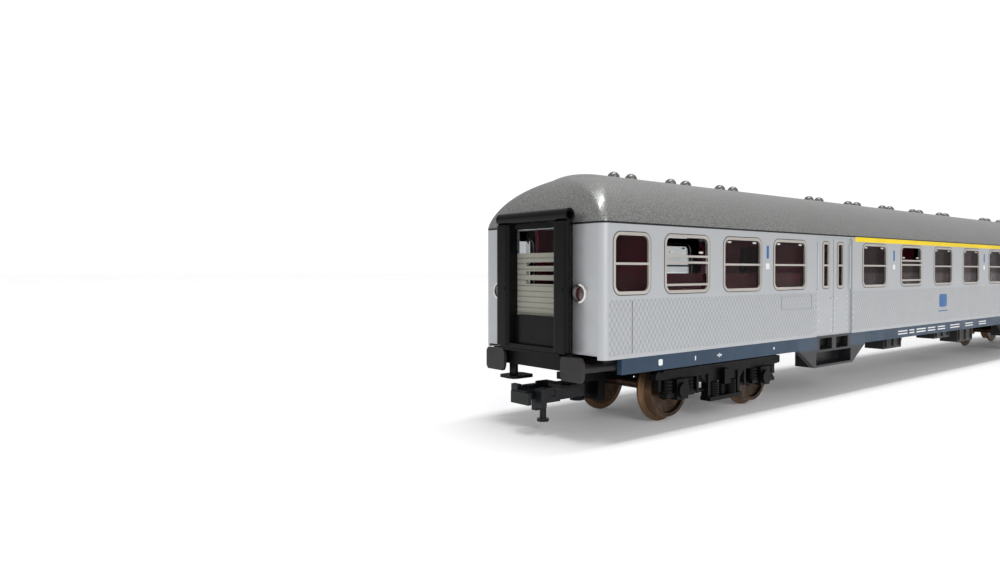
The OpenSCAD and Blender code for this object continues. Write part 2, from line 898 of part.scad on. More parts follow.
// The rubber roll on each side of the passage and the sill that joins them below.
module gangway_rubber() {
    band_z = side_z + 11.2;
    band_h = 0.5;
    band_proud = 0.12;
    wall_half = roll_half - roll_r - 0.1;
    color(BLACK)
        union() {
            for (s = [-1, 1])
                on_hand(s) {
                    translate([roll_r - roll_depth, (passage_half + roll_half) / 2, roll_bottom])
                        linear_extrude(roll_top - roll_bottom)
                            round_rect(2 * roll_r, roll_half - passage_half, roll_r - 0.05);
                    block([roll_r - roll_depth, passage_half, roll_bottom], [0, wall_half, roll_top]);
                    block([-roll_depth - band_proud, passage_half + roll_r, band_z],
                          [-roll_depth + roll_r, wall_half, band_z + band_h]);
                }
            // The sill below the passage and the header above it.
            block([-roll_depth + 0.5, -wall_half, roll_bottom - 0.35], [0, wall_half, roll_bottom + 0.5]);
            block([-roll_depth / 2, -passage_half - 0.5, end_door_top + 0.1],
                  [0, passage_half + 0.5, roll_top]);
        }
}

module gangway_rubber_front() {
    at_end(false)
        gangway_rubber();
}

module gangway_rubber_rear() {
    at_end(true)
        gangway_rubber();
}

// The hollow rubber roll that lies across the top of the passage.
module gangway_top_roll() {
    r = top_roll_d / 2;
    rubber_t = 0.35;
    color(BLACK)
        translate([-roll_depth / 2 - 0.15, 0, roll_top + r])
            rotate([90, 0, 0])
                difference() {
                    cylinder(r = r, h = 2 * top_roll_half, center = true);
                    cylinder(r = r - rubber_t, h = 2 * top_roll_half + 2, center = true);
                }
}

module gangway_top_roll_front() {
    at_end(false)
        gangway_top_roll();
}

module gangway_top_roll_rear() {
    at_end(true)
        gangway_top_roll();
}

// The folded bridge plate that stands in front of the shutter.
module bridge_plate() {
    bridge_t = 0.75;
    bridge_z0 = roll_bottom + 0.5;
    top_r = 1.1;
    color(BLACK)
        translate([-bridge_t, 0, 0])
            rotate([90, 0, 90])
                linear_extrude(bridge_t) {
                    translate([0, (bridge_z0 + bridge_top) / 2])
                        round_rect(2 * plate_half, bridge_top - bridge_z0, top_r);
                    translate([-plate_half, bridge_z0])
                        square([2 * plate_half, 2 * top_r]);
                }
}

module bridge_plate_front() {
    at_end(false)
        bridge_plate();
}

module bridge_plate_rear() {
    at_end(true)
        bridge_plate();
}

// Tail lamps: a turned rim with a spigot in the end wall, and a lens in the rim.
module each_lamp() {
    for (rear = [false, true])
        at_end(rear)
            for (s = [-1, 1])
                translate([0, s * lamp_y, lamp_z])
                    rotate([0, 90, 0])
                        children();
}

module tail_lamp_rims() {
    color(FRAME_METAL)
        each_lamp()
            difference() {
                union() {
                    translate([0, 0, -lamp_proud])
                        cylinder(r = lamp_r, h = lamp_proud);
                    cylinder(r = lamp_spigot_r - 0.02, h = wall_t + 0.4);
                }
                translate([0, 0, -lamp_proud - 1])
                    cylinder(r = lamp_r - lamp_wall, h = 1 + lamp_proud - 0.1);
            }
}

module tail_lamp_lenses() {
    color([0.35, 0.03, 0.04])
        each_lamp()
            translate([0, 0, -lamp_proud + 0.1])
                cylinder(r = lamp_r - lamp_wall - 0.02, h = lamp_proud - 0.2);
}

// The buffer beam below the end wall, with its two shunter's steps.
module headstock() {
    beam_x = -0.5;
    lip_x = -2.0;
    lip_half = buffer_y - buffer_w / 2 - 0.25;
    beam_top = side_z + end_wall_lift - 0.1;
    color(BLACK) {
        block([beam_x, -headstock_half, solebar_bottom + 0.1],
              [beam_x + headstock_t, headstock_half, plate_bottom]);
        block([beam_x, -headstock_half, plate_bottom - eps],
              [underframe_in - 0.1, headstock_half, beam_top]);
        block([lip_x, -lip_half, side_z + 0.1], [beam_x + eps, lip_half, beam_top]);
        for (s = [-1, 1])
            on_hand(s) {
                block([-0.3, step_y - 0.9, step_z], [0.3, step_y + 0.9, solebar_bottom + 0.2]);
                translate([0.5, step_y - 0.2, step_z - step_t])
                    linear_extrude(step_t + eps)
                        round_rect(5.4, 4.6, 1.2);
            }
    }
}

module headstock_front() {
    at_end(false)
        headstock();
}

module headstock_rear() {
    at_end(true)
        headstock();
}

// Two buffers: a plate with curved sides on a round shank that is pushed into its socket.
module buffers() {
    side_r = buffer_w / 2 + 0.35;
    face_t = buffer_plate_t * 0.55;
    face_taper = 0.9;
    collar = 0.35;
    shank_len = buffer_reach + socket_in + socket_len - 1;
    color(CHARCOAL)
        for (s = [-1, 1])
            translate([-buffer_reach, s * buffer_y, buffer_z])
                rotate([0, 90, 0]) {
                    intersection() {
                        union() {
                            cylinder(r = side_r, h = face_t);
                            translate([0, 0, face_t - eps])
                                cylinder(r1 = side_r, r2 = side_r - face_taper,
                                         h = buffer_plate_t - face_t + eps);
                        }
                        translate([-buffer_h / 2, -buffer_w / 2, -1])
                            cube([buffer_h, buffer_w, buffer_plate_t + 2]);
                    }
                    cylinder(d = shank_d, h = shank_len);
                    cylinder(r = shank_d / 2 + collar, h = buffer_plate_t + 0.5);
                }
}

module buffers_front() {
    at_end(false)
        buffers();
}

module buffers_rear() {
    at_end(true)
        buffers();
}

// ---------------------------------------------------------------- bogies

// Places the children on a bogie pivot: x = 0 is the pivot and -x points to the body end.
module at_bogie(rear) {
    at_end(rear)
        translate([bogie_in, 0, 0])
            children();
}

// A coil spring's outline: a stack of rings on a core, standing on z = 0.
module spring(r, h, turns) {
    wire = h / turns;
    core_in = 0.3;
    cylinder(r = r - core_in, h = h);
    for (k = [0:turns - 1])
        translate([0, 0, (k + 0.2) * wire])
            cylinder(r = r, h = 0.6 * wire);
}

// The side beam: set down at its ends, with a deeper middle over the bolster springs.
module side_beam() {
    end_x = axle_in + 6.8;
    top_x = axle_in + 5.8;
    low_x = axle_in + 3.6;
    mid_top_x = 7.4;
    mid_low_x = 5.8;
    on_side(frame_inner, frame_outer - 0.8)
        polygon([[-end_x, beam_z1 - 0.7], [-top_x, beam_z1], [top_x, beam_z1], [end_x, beam_z1 - 0.7],
                 [end_x, beam_z0 + 0.3], [low_x, beam_z0], [mid_top_x, beam_z0], [mid_low_x, mid_z],
                 [-mid_low_x, mid_z], [-mid_top_x, beam_z0], [-low_x, beam_z0], [-end_x, beam_z0 + 0.3]]);
    block([-top_x + 0.2, frame_inner, beam_z1 - 0.4], [top_x - 0.2, frame_outer, beam_z1]);
}

// One axle box with its cover, its spring seat and a spring on each side.
module axle_box() {
    box_half = 1.7;
    cover_r = 1.45;
    seat_half = 4.2;
    seat_top = axle_z - 0.4;
    spring_x = 3.1;
    block([-box_half, frame_inner, axle_z - box_half], [box_half, frame_outer, beam_z0 + eps]);
    translate([0, frame_outer - eps, axle_z])
        rotate([-90, 0, 0])
            cylinder(r = cover_r, h = 0.5);
    block([-seat_half, frame_inner + 0.2, seat_top - 0.8], [seat_half, frame_outer - 0.4, seat_top]);
    for (d = [-1, 1])
        translate([d * spring_x, frame_mid - 0.1, seat_top - eps])
            spring(1.1, beam_z0 - seat_top + 2 * eps, 4);
}

// The spring plank with two large springs and their guides under the middle of the side beam.
module bolster_springs() {
    plank_half = 5.4;
    plank_z0 = 3.4;
    plank_z1 = 4.2;
    spring_x = 2.9;
    guide_x = 5.0;
    guide_half = 0.4;
    block([-plank_half, frame_inner + 0.1, plank_z0], [plank_half, frame_outer, plank_z1]);
    for (s = [-1, 1]) {
        translate([s * spring_x, frame_mid, plank_z1 - eps])
            spring(1.2, mid_z - plank_z1 + 2 * eps, 6);
        block([s * guide_x - guide_half, frame_inner + 0.3, plank_z0],
              [s * guide_x + guide_half, frame_outer - 0.5, beam_z0]);
    }
    // The damper between the springs, and its bracket.
    translate([0, frame_mid, plank_z1 - eps])
        cylinder(r = 0.55, h = mid_z - plank_z1 + 0.2);
    block([-1, frame_outer - 0.9, mid_z - 0.6], [1, frame_outer + 0.3, beam_z1 - 1.2]);
}

// Brake hangers and the rods that run to them from the axle boxes.
module brake_gear() {
    end_hanger_x = axle_in + 5.2;
    hanger_x = 8.0;
    rod_x0 = 4.8;
    rod_len = 6.4;
    for (s = [-1, 1]) {
        block([s * end_hanger_x - 0.4, frame_inner + 0.2, 6.6],
              [s * end_hanger_x + 0.4, frame_inner + 1.2, beam_z0 + 1]);
        block([s * hanger_x - 0.35, frame_inner + 0.2, 5.2],
              [s * hanger_x + 0.35, frame_inner + 1.4, beam_z0 + eps]);
        translate([s * rod_x0, frame_inner + 0.9, 5.6])
            rotate([0, s * 90, 0])
                cylinder(r = 0.4, h = rod_len);
    }
}

// One side of the bogie, drawn on the +Y side.
module bogie_side() {
    side_beam();
    for (s = [-1, 1])
        translate([s * axle_in, 0, 0])
            axle_box();
    bolster_springs();
    brake_gear();
}

// The bolster across the bogie, the beam at its inner end and the brake beams.
module cross_members() {
    bolster_half = 4.8;
    end_x0 = axle_in + flange_r + 0.5;
    end_x1 = end_x0 + 1.2;
    end_z1 = beam_z1 - 0.7;
    brake_x = 6.6;
    block([-bolster_half, -frame_inner - eps, bolster_z - bolster_t],
          [bolster_half, frame_inner + eps, bolster_z]);
    block([-bolster_half - 0.8, -head_room_half, bolster_z - bolster_t - head_room],
          [bolster_half + 0.8, head_room_half, bolster_z - bolster_t + eps]);
    block([end_x0, -frame_inner - 0.5, end_z1 - 1.2], [end_x1, frame_inner + 0.5, end_z1]);
    for (s = [-1, 1]) {
        on_hand(s)
            block([axle_in + 5, frame_inner, end_z1 - 1], [end_x1, frame_inner + 0.9, end_z1]);
        block([s * brake_x - 0.5, -frame_inner - eps, 7], [s * brake_x + 0.5, frame_inner + eps, 8]);
    }
}

// The tongue over the outer axle, with the pocket and the pin that hold the coupling.
module coupler_pocket() {
    tongue_half = 2.4;
    tongue_z0 = coupler_z1 - 0.1;
    tongue_z1 = coupler_z1 + 1.2;
    lid_z0 = coupler_z1 + 0.15;
    lid_z1 = coupler_z1 + 1.5;
    back_x0 = tongue_x + 2.4;
    back_x1 = tongue_x + 4.2;
    pin_head = 0.45;
    block([tongue_x + 2, -tongue_half, tongue_z0], [-4.8 + eps, tongue_half, tongue_z1]);
    block([tongue_x - 2.2, -pocket_half, lid_z0], [back_x1, pocket_half, lid_z1]);
    block([back_x0, -pocket_half, coupler_z0 - 0.9], [back_x1, pocket_half, coupler_z1 + 0.2]);
    translate([tongue_x, 0, coupler_z0 - 0.6])
        cylinder(d = coupler_pin_d, h = coupler_z1 - coupler_z0 + 0.9);
    translate([tongue_x, 0, coupler_z0 - 0.9])
        cylinder(r = coupler_pin_d / 2 + pin_head, h = 0.6);
}

module bogie_frame() {
    color(BLACK)
        difference() {
            union() {
                for (m = [0, 1])
                    mirror([0, m, 0])
                        bogie_side();
                cross_members();
                coupler_pocket();
            }
            // The pivot's bore, the room for its head, and the bearings of both axles.
            translate([0, 0, bolster_z - bolster_t - 3])
                cylinder(r = pin_r + run_gap, h = bolster_t + 6);
            translate([0, 0, bolster_z - bolster_t - head_room - 1])
                cylinder(r = pin_head_r + 0.3, h = head_room + 1);
            for (s = [-1, 1])
                translate([s * axle_in, 0, axle_z])
                    rotate([90, 0, 0])
                        cylinder(d = tip_d + 2 * run_gap, h = 2 * (frame_inner + tip_len), center = true);
        }
}

module bogie_frame_front() {
    at_bogie(false)
        bogie_frame();
}

module bogie_frame_rear() {
    at_bogie(true)
        bogie_frame();
}

// The pivot: pressed into the boss, turning in the bolster, with a head that holds it.
module bogie_pivot() {
    z0 = bolster_z - bolster_t - run_gap;
    color([0.62, 0.62, 0.6]) {
        translate([0, 0, z0 - pin_head_t])
            difference() {
                cylinder(r = pin_head_r, h = pin_head_t);
                block([-pin_head_r, -0.3, -1], [pin_head_r, 0.3, 0.35]);
            }
        translate([0, 0, z0 - eps])
            cylinder(r = pin_r, h = plate_top - z0);
    }
}

module bogie_pivot_front() {
    at_bogie(false)
        bogie_pivot();
}

module bogie_pivot_rear() {
    at_bogie(true)
        bogie_pivot();
}

// ---------------------------------------------------------------- couplings

// In a coupling x = 0 is the outside of the end wall.
module coupler_body() {
    shank_half = 1.9;
    shank_x = 2.4;
    head_x0 = -1.0;
    head_x1 = 2.6;
    wall_x = -coupler_reach + 1.2;
    claw_x = -coupler_reach + 2.0;
    claw_t = 1.0;
    // The upstand passes under the shunter's steps when the bogie turns.
    upstand_h = step_z - step_t - step_clear - coupler_z1;
    side_gap = 0.15;
    color(CHARCOAL)
        difference() {
            union() {
                // Shank with the eye for the pocket pin.
                block([shank_x, -shank_half, coupler_z0], [coupler_pivot_in, shank_half, coupler_z1]);
                translate([coupler_pivot_in, 0, coupler_z0])
                    cylinder(r = shank_half, h = coupler_z1 - coupler_z0);
                // Head: two cheeks, a front wall on the left, a claw on the right and an upstand.
                block([head_x0, -claw_half, coupler_z0], [head_x1, claw_half, coupler_z1]);
                block([wall_x, claw_half - claw_t, coupler_z0 - 0.2],
                      [head_x0 + 0.1, claw_half, coupler_z1]);
                block([wall_x, claw_half - claw_t, coupler_z0 - 0.2],
                      [wall_x + 0.9, claw_half + 0.8, coupler_z1 + 0.3]);
                block([claw_x, -claw_half, coupler_z0 + 0.4],
                      [head_x0 + 0.1, claw_t - claw_half, coupler_z1]);
                block([claw_x, -claw_half - 0.7, coupler_z0 - 0.6],
                      [claw_x + 1.3, claw_t - claw_half, coupler_z1]);
                block([head_x1 - 1.8, -shank_half, coupler_z1 - eps],
                      [head_x1 + 1, shank_half, coupler_z1 + upstand_h]);
            }
            // Slot for the hook, its pin bore and the eye's bore.
            block([-3, -slot_half - side_gap, coupler_z0 - 1],
                  [hook_pivot_x + 1.5, slot_half + side_gap, coupler_z1 + 3]);
            translate([hook_pivot_x, 0, hook_pivot_z])
                rotate([90, 0, 0])
                    cylinder(r = hook_pin_r + run_gap, h = 2 * claw_half + 4, center = true);
            translate([coupler_pivot_in, 0, coupler_z0 - 1])
                cylinder(r = coupler_pin_d / 2 + run_gap, h = coupler_z1 - coupler_z0 + 2);
        }
}

module coupler_body_front() {
    at_end(false)
        coupler_body();
}

module coupler_body_rear() {
    at_end(true)
        coupler_body();
}

// The lifting hook: a bar that ends in a hook, with its cross pin, a rib and the lifting foot.
module coupler_hook() {
    tip_x = -coupler_reach;
    bar_z0 = hook_pivot_z - 0.8;
    bar_z1 = hook_pivot_z + 0.6;
    foot_x = 1.0;
    rib_x = -0.7;
    rib_half = 0.5;
    color(BLACK) {
        on_side(-slot_half, slot_half)
            polygon([[hook_pivot_x + 0.9, bar_z0], [hook_pivot_x + 0.9, bar_z1], [tip_x + 0.6, bar_z1],
                     [tip_x, hook_pivot_z], [tip_x, coupler_z0], [tip_x + 0.9, coupler_z0],
                     [tip_x + 1.1, bar_z0]]);
        block([tip_x, -slot_half - 1, coupler_z0 - 0.1], [tip_x + 0.8, slot_half + 1, hook_pivot_z + 0.4]);
        translate([hook_pivot_x, 0, hook_pivot_z])
            rotate([90, 0, 0])
                cylinder(r = hook_pin_r, h = 2 * claw_half - 0.2, center = true);
        block([rib_x - rib_half, -0.6, foot_z + 2.2], [rib_x + rib_half, 0.6, bar_z0 + eps]);
        block([rib_x, -0.6, bar_z0 - 1.6], [foot_x, 0.6, bar_z0 + eps]);
        translate([foot_x, 0, foot_z])
            cylinder(r = 0.6, h = bar_z0 - foot_z + eps);
        translate([foot_x, 0, foot_z])
            cylinder(r = 1.1, h = 0.5);
    }
}

module coupler_hook_front() {
    at_end(false)
        coupler_hook();
}

module coupler_hook_rear() {
    at_end(true)
        coupler_hook();
}

// ---------------------------------------------------------------- wheelsets

// Axles are numbered from the front end. Each child is drawn on the axle's centre.
function axle_place(i) = (i <= 2 ? -1 : 1) * pivot_x + (i % 2 == 1 ? -1 : 1) * wheelbase / 2;
module at_axle(i) {
    translate([axle_place(i), 0, axle_z])
        rotate([90, 0, 0])
            children();
}

module axle(i) {
    color(BRONZE)
        at_axle(i) {
            cylinder(d = axle_d, h = 2 * wheel_outer, center = true);
            cylinder(d = tip_d, h = 2 * axle_half, center = true);
        }
}

// A wheel outline in radius and distance from the back of the wheel, turned about the axle.
module wheel_shape() {
    flange_t = 0.9;
    rotate_extrude()
        polygon([[bush_r, 0], [flange_r - 0.25, 0], [flange_r, 0.25], [flange_r, flange_t - 0.35],
                 [wheel_r + 0.15, flange_t], [wheel_r, flange_t + 0.2], [wheel_r - 0.1, wheel_w],
                 [wheel_r - 0.8, wheel_w], [wheel_r - 0.95, wheel_w - 0.6], [2.4, wheel_w - 0.9],
                 [2.1, wheel_w - 0.2], [bush_r, wheel_w - 0.2]]);
}

module wheels(i) {
    color(BRONZE)
        at_axle(i)
            for (m = [0, 1])
                mirror([0, 0, m])
                    translate([0, 0, wheel_inner])
                        wheel_shape();
}

// The insulating bush between each wheel and the axle.
module wheel_bushes(i) {
    color(BLACK)
        at_axle(i)
            for (m = [0, 1])
                mirror([0, 0, m])
                    translate([0, 0, wheel_inner])
                        difference() {
                            cylinder(r = bush_r, h = wheel_w - 0.2);
                            translate([0, 0, -1])
                                cylinder(d = axle_d, h = wheel_w + 2);
                        }
}

module axle_1() { axle(1); }
module axle_2() { axle(2); }
module axle_3() { axle(3); }
module axle_4() { axle(4); }
module wheels_1() { wheels(1); }
module wheels_2() { wheels(2); }
module wheels_3() { wheels(3); }
module wheels_4() { wheels(4); }
module wheel_bushes_1() { wheel_bushes(1); }
module wheel_bushes_2() { wheel_bushes(2); }
module wheel_bushes_3() { wheel_bushes(3); }
module wheel_bushes_4() { wheel_bushes(4); }

// ---------------------------------------------------------------- drawing

body_shell();
roof();
roof_ventilators();
window_frames_left();
window_frames_right();
glazing_left();
glazing_right();
interior_moulding();
seats();
ballast_plate();
underframe();
solebar_left();
solebar_right();
door_steps_front_left();
door_steps_front_right();
door_steps_rear_left();
door_steps_rear_right();
equipment_boxes();
air_tanks();
roller_shutter_front();
roller_shutter_rear();
end_window_front();
end_window_rear();
gangway_rubber_front();
gangway_rubber_rear();
gangway_top_roll_front();
gangway_top_roll_rear();
bridge_plate_front();
bridge_plate_rear();
tail_lamp_rims();
tail_lamp_lenses();
headstock_front();
headstock_rear();
buffers_front();
buffers_rear();
bogie_frame_front();
bogie_frame_rear();
bogie_pivot_front();
bogie_pivot_rear();
coupler_body_front();
coupler_body_rear();
coupler_hook_front();
coupler_hook_rear();
axle_1();
axle_2();
axle_3();
axle_4();
wheels_1();
wheels_2();
wheels_3();
wheels_4();
wheel_bushes_1();
wheel_bushes_2();
wheel_bushes_3();
wheel_bushes_4();
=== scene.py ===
import math

import bmesh
import bpy
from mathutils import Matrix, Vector


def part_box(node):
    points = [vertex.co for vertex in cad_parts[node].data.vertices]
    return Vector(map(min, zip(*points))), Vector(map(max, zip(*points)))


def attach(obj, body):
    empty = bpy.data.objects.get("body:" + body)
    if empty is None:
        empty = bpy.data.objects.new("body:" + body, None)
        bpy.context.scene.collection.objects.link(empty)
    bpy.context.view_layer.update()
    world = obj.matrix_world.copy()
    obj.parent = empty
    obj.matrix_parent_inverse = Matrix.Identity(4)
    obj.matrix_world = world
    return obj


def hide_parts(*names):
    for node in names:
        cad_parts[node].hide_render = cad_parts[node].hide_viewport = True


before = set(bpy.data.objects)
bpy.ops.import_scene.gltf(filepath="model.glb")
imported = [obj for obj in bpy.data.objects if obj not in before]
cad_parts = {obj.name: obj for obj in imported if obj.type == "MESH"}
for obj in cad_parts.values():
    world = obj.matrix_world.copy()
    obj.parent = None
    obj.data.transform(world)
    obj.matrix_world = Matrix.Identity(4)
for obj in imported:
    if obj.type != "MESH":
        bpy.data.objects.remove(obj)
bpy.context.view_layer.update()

bl_info = {
    "name": "Passenger Coach Looks",
    "version": (1, 0, 0),
    "blender": (4, 5, 0),
    "location": "View3D > Sidebar > Coach",
    "description": "Paint, glazing, printed marks, small fittings and the stage of a model passenger coach",
    "category": "Object",
}

MM = 0.001

# ---------------------------------------------------------------- places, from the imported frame

SHELL_LO, SHELL_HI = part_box("body_shell")
ROOF_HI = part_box("roof")[1]
FRAME_LO, FRAME_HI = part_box("window_frames_left")
SOLEBAR_LO, SOLEBAR_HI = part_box("solebar_left")
HALF_LEN = SHELL_HI.x
HALF_W = SHELL_HI.y
SIDE_Z = SHELL_LO.z
SIDE_TOP = SHELL_HI.z
WINDOW_Z0 = FRAME_LO.z - 0.1 * MM
WINDOW_Z1 = FRAME_HI.z + 0.1 * MM
WINDOW_MID_Z = (WINDOW_Z0 + WINDOW_Z1) / 2
WINDOW_H = WINDOW_Z1 - WINDOW_Z0
SKIN = 0.03 * MM

# Window places, as distances from the middle of the coach.
SALOON_X = [HALF_LEN - (22.1 + 17.6 * i) * MM for i in range(3)]
FIRST_X = [21.2 * MM * i for i in (-2, -1, 0, 1, 2)]
WIDE_X = [-x for x in SALOON_X] + FIRST_X + SALOON_X[::-1]
WC_X = HALF_LEN - 7.0 * MM
DOOR_X = HALF_LEN - 76.6 * MM
DOOR_LEAF_GAP = 6.7 * MM
WIDE_W = 13.4 * MM
WC_W = 9.6 * MM
DOOR_GLASS_W = 3.3 * MM
WINDOW_R = 1.8 * MM
DOOR_GLASS_R = 0.9 * MM
DOOR_W = 16.6 * MM
DOOR_RECESS = 0.4 * MM
OPEN_X = (WIDE_X[0], FIRST_X[1])
SIDES = (("left", 1), ("right", -1))
ENDS = ("front", "rear")
WHEELSETS = (1, 2, 3, 4)


# ---------------------------------------------------------------- what a user would change

class CoachPaint(bpy.types.PropertyGroup):
    """Colours of the coach."""
    side: bpy.props.FloatVectorProperty(
        name="Side paint", description="Metallic paint of the side and end walls",
        subtype="COLOR", size=3, min=0, max=1, default=(0.49, 0.505, 0.52))
    roof: bpy.props.FloatVectorProperty(
        name="Roof paint", description="Metallic paint of the roof",
        subtype="COLOR", size=3, min=0, max=1, default=(0.235, 0.24, 0.232))
    solebar: bpy.props.FloatVectorProperty(
        name="Solebar paint", description="Paint of the solebars and step units",
        subtype="COLOR", size=3, min=0, max=1, default=(0.02, 0.046, 0.085))
    stripe: bpy.props.FloatVectorProperty(
        name="Class stripe", description="Colour of the stripe over the first-class windows",
        subtype="COLOR", size=3, min=0, max=1, default=(0.86, 0.62, 0.0))
    marks: bpy.props.FloatVectorProperty(
        name="Class marks", description="Colour of the plain marks on the sides",
        subtype="COLOR", size=3, min=0, max=1, default=(0.03, 0.13, 0.35))
    interior: bpy.props.FloatVectorProperty(
        name="Interior", description="Colour of the interior moulding and the seats",
        subtype="COLOR", size=3, min=0, max=1, default=(0.16, 0.022, 0.034))


class CoachTrim(bpy.types.PropertyGroup):
    """Sizes of the printed stripe and the small fittings."""
    stripe_height: bpy.props.FloatProperty(
        name="Stripe height", description="Height of the class stripe",
        unit="LENGTH", min=0.0005, max=0.0014, default=1.1 * MM)
    stripe_half: bpy.props.FloatProperty(
        name="Stripe half length", description="Half the length of the class stripe",
        unit="LENGTH", min=0.02, max=0.06, default=52.7 * MM)
    # Painted shade: width of the dark line over the gap round each window frame.
    gap_shade_width: bpy.props.FloatProperty(
        name="Gap shade width", description="Width of the dark line round a window frame",
        unit="LENGTH", min=0.00005, max=0.0003, default=0.17 * MM)
    edge_round: bpy.props.FloatProperty(
        name="Edge rounding", description="Rounding of moulded edges",
        unit="LENGTH", min=0.00002, max=0.0001, default=0.06 * MM)


class CoachStage(bpy.types.PropertyGroup):
    """Light and camera."""
    lens: bpy.props.FloatProperty(
        name="Lens", description="Focal length on a 36 mm wide sensor, in millimetres",
        min=20, max=80, default=26.06)
    key_power: bpy.props.FloatProperty(
        name="Key light", description="Power of the soft light beside the coach",
        unit="POWER", min=0, max=40, default=1.5)
    top_power: bpy.props.FloatProperty(
        name="Top light", description="Power of the soft light over the coach",
        unit="POWER", min=0, max=40, default=4.5)
    room_light: bpy.props.FloatProperty(
        name="Room light", description="Brightness of the pale room",
        min=0, max=2, default=0.5)


# ---------------------------------------------------------------- material helpers

def new_finish(name, metallic, roughness, coat=0.0, specular=0.5):
    """A material with one shader whose constant values are set on its own sockets."""
    material = bpy.data.materials.new(name)
    material.use_nodes = True
    tree = material.node_tree
    shader = tree.nodes["Principled BSDF"]
    shader.inputs["Metallic"].default_value = metallic
    shader.inputs["Roughness"].default_value = roughness
    shader.inputs["Coat Weight"].default_value = coat
    shader.inputs["Coat Roughness"].default_value = 0.12
    shader.inputs["Specular IOR Level"].default_value = specular
    return material, tree, shader


def place(tree):
    """The point on the piece, in metres."""
    return tree.nodes.new("ShaderNodeTexCoord").outputs["Object"]


def split(tree):
    """The three coordinates of the point on the piece."""
    point = tree.nodes.new("ShaderNodeSeparateXYZ")
    tree.links.new(place(tree), point.inputs[0])
    return point.outputs


def noise(tree, size, detail=2.0):
    """Noise whose features are about size across, in metres."""
    node = tree.nodes.new("ShaderNodeTexNoise")
    node.inputs["Scale"].default_value = 1 / size
    node.inputs["Detail"].default_value = detail
    tree.links.new(place(tree), node.inputs["Vector"])
    return node.outputs["Fac"]


def ramp(tree, source, low, high, start=0.35, end=0.65):
    """A colour that goes from low to high as source goes from start to end."""
    node = tree.nodes.new("ShaderNodeValToRGB")
    first, last = node.color_ramp.elements
    first.position = start
    first.color = (*low, 1)
    last.position = end
    last.color = (*high, 1)
    tree.links.new(source, node.inputs["Fac"])
    return node.outputs["Color"]


def spread(tree, source, low, high, start=0.3, end=0.7):
    """A number that goes from low to high as source goes from start to end."""
    node = tree.nodes.new("ShaderNodeMapRange")
    for socket, value in (("From Min", start), ("From Max", end), ("To Min", low), ("To Max", high)):
        node.inputs[socket].default_value = value
    tree.links.new(source, node.inputs["Value"])
    return node.outputs["Result"]


def calc(tree, operation, a, b=0.0, c=0.0):
    """One Math node. Each of a, b and c is a socket or a number."""
    node = tree.nodes.new("ShaderNodeMath")
    node.operation = operation
    for socket, value in zip(node.inputs, (a, b, c)):
        if isinstance(value, (int, float)):
            socket.default_value = value
        else:
            tree.links.new(value, socket)
    return node.outputs[0]


def mix(tree, factor, a, b):
    """Colour a where factor is 0 and colour b where it is 1."""
    node = tree.nodes.new("ShaderNodeMix")
    node.data_type = "RGBA"
    tree.links.new(factor, node.inputs[0])
    for socket, value in ((node.inputs[6], a), (node.inputs[7], b)):
        if isinstance(value, tuple):
            socket.default_value = (*value, 1)
        else:
            tree.links.new(value, socket)
    return node.outputs[2]


def distance(tree, a, b):
    """How far a is from b, never negative."""
    return calc(tree, "ABSOLUTE", calc(tree, "SUBTRACT", a, b))


def relief(tree, shader, height, depth):
    """Raises the surface by height, from 0 to 1, times depth in metres."""
    node = tree.nodes.new("ShaderNodeBump")
    node.inputs["Distance"].default_value = depth
    tree.links.new(height, node.inputs["Height"])
    tree.links.new(node.outputs["Normal"], shader.inputs["Normal"])


def tint(color, share):
    """The colour made lighter or darker."""
    return tuple(min(1.0, max(0.0, c * share)) for c in color)


def moulded(name, color, metallic, roughness, grain=0.25 * MM, depth=0.006 * MM, vary=0.16,
            specular=0.3):
    """A moulded or painted finish: slightly uneven colour, uneven gloss and a fine grain."""
    material, tree, shader = new_finish(name, metallic, roughness, specular=specular)
    cloud = noise(tree, 9 * MM, 3)
    uneven = ramp(tree, cloud, tint(color, 1 - vary), tint(color, 1 + vary))
    tree.links.new(uneven, shader.inputs["Base Color"])
    tree.links.new(spread(tree, noise(tree, 2.5 * MM), roughness * 0.85, min(1, roughness * 1.18)),
                   shader.inputs["Roughness"])
    relief(tree, shader, noise(tree, grain, 2), depth)
    return material


# ---------------------------------------------------------------- finishes

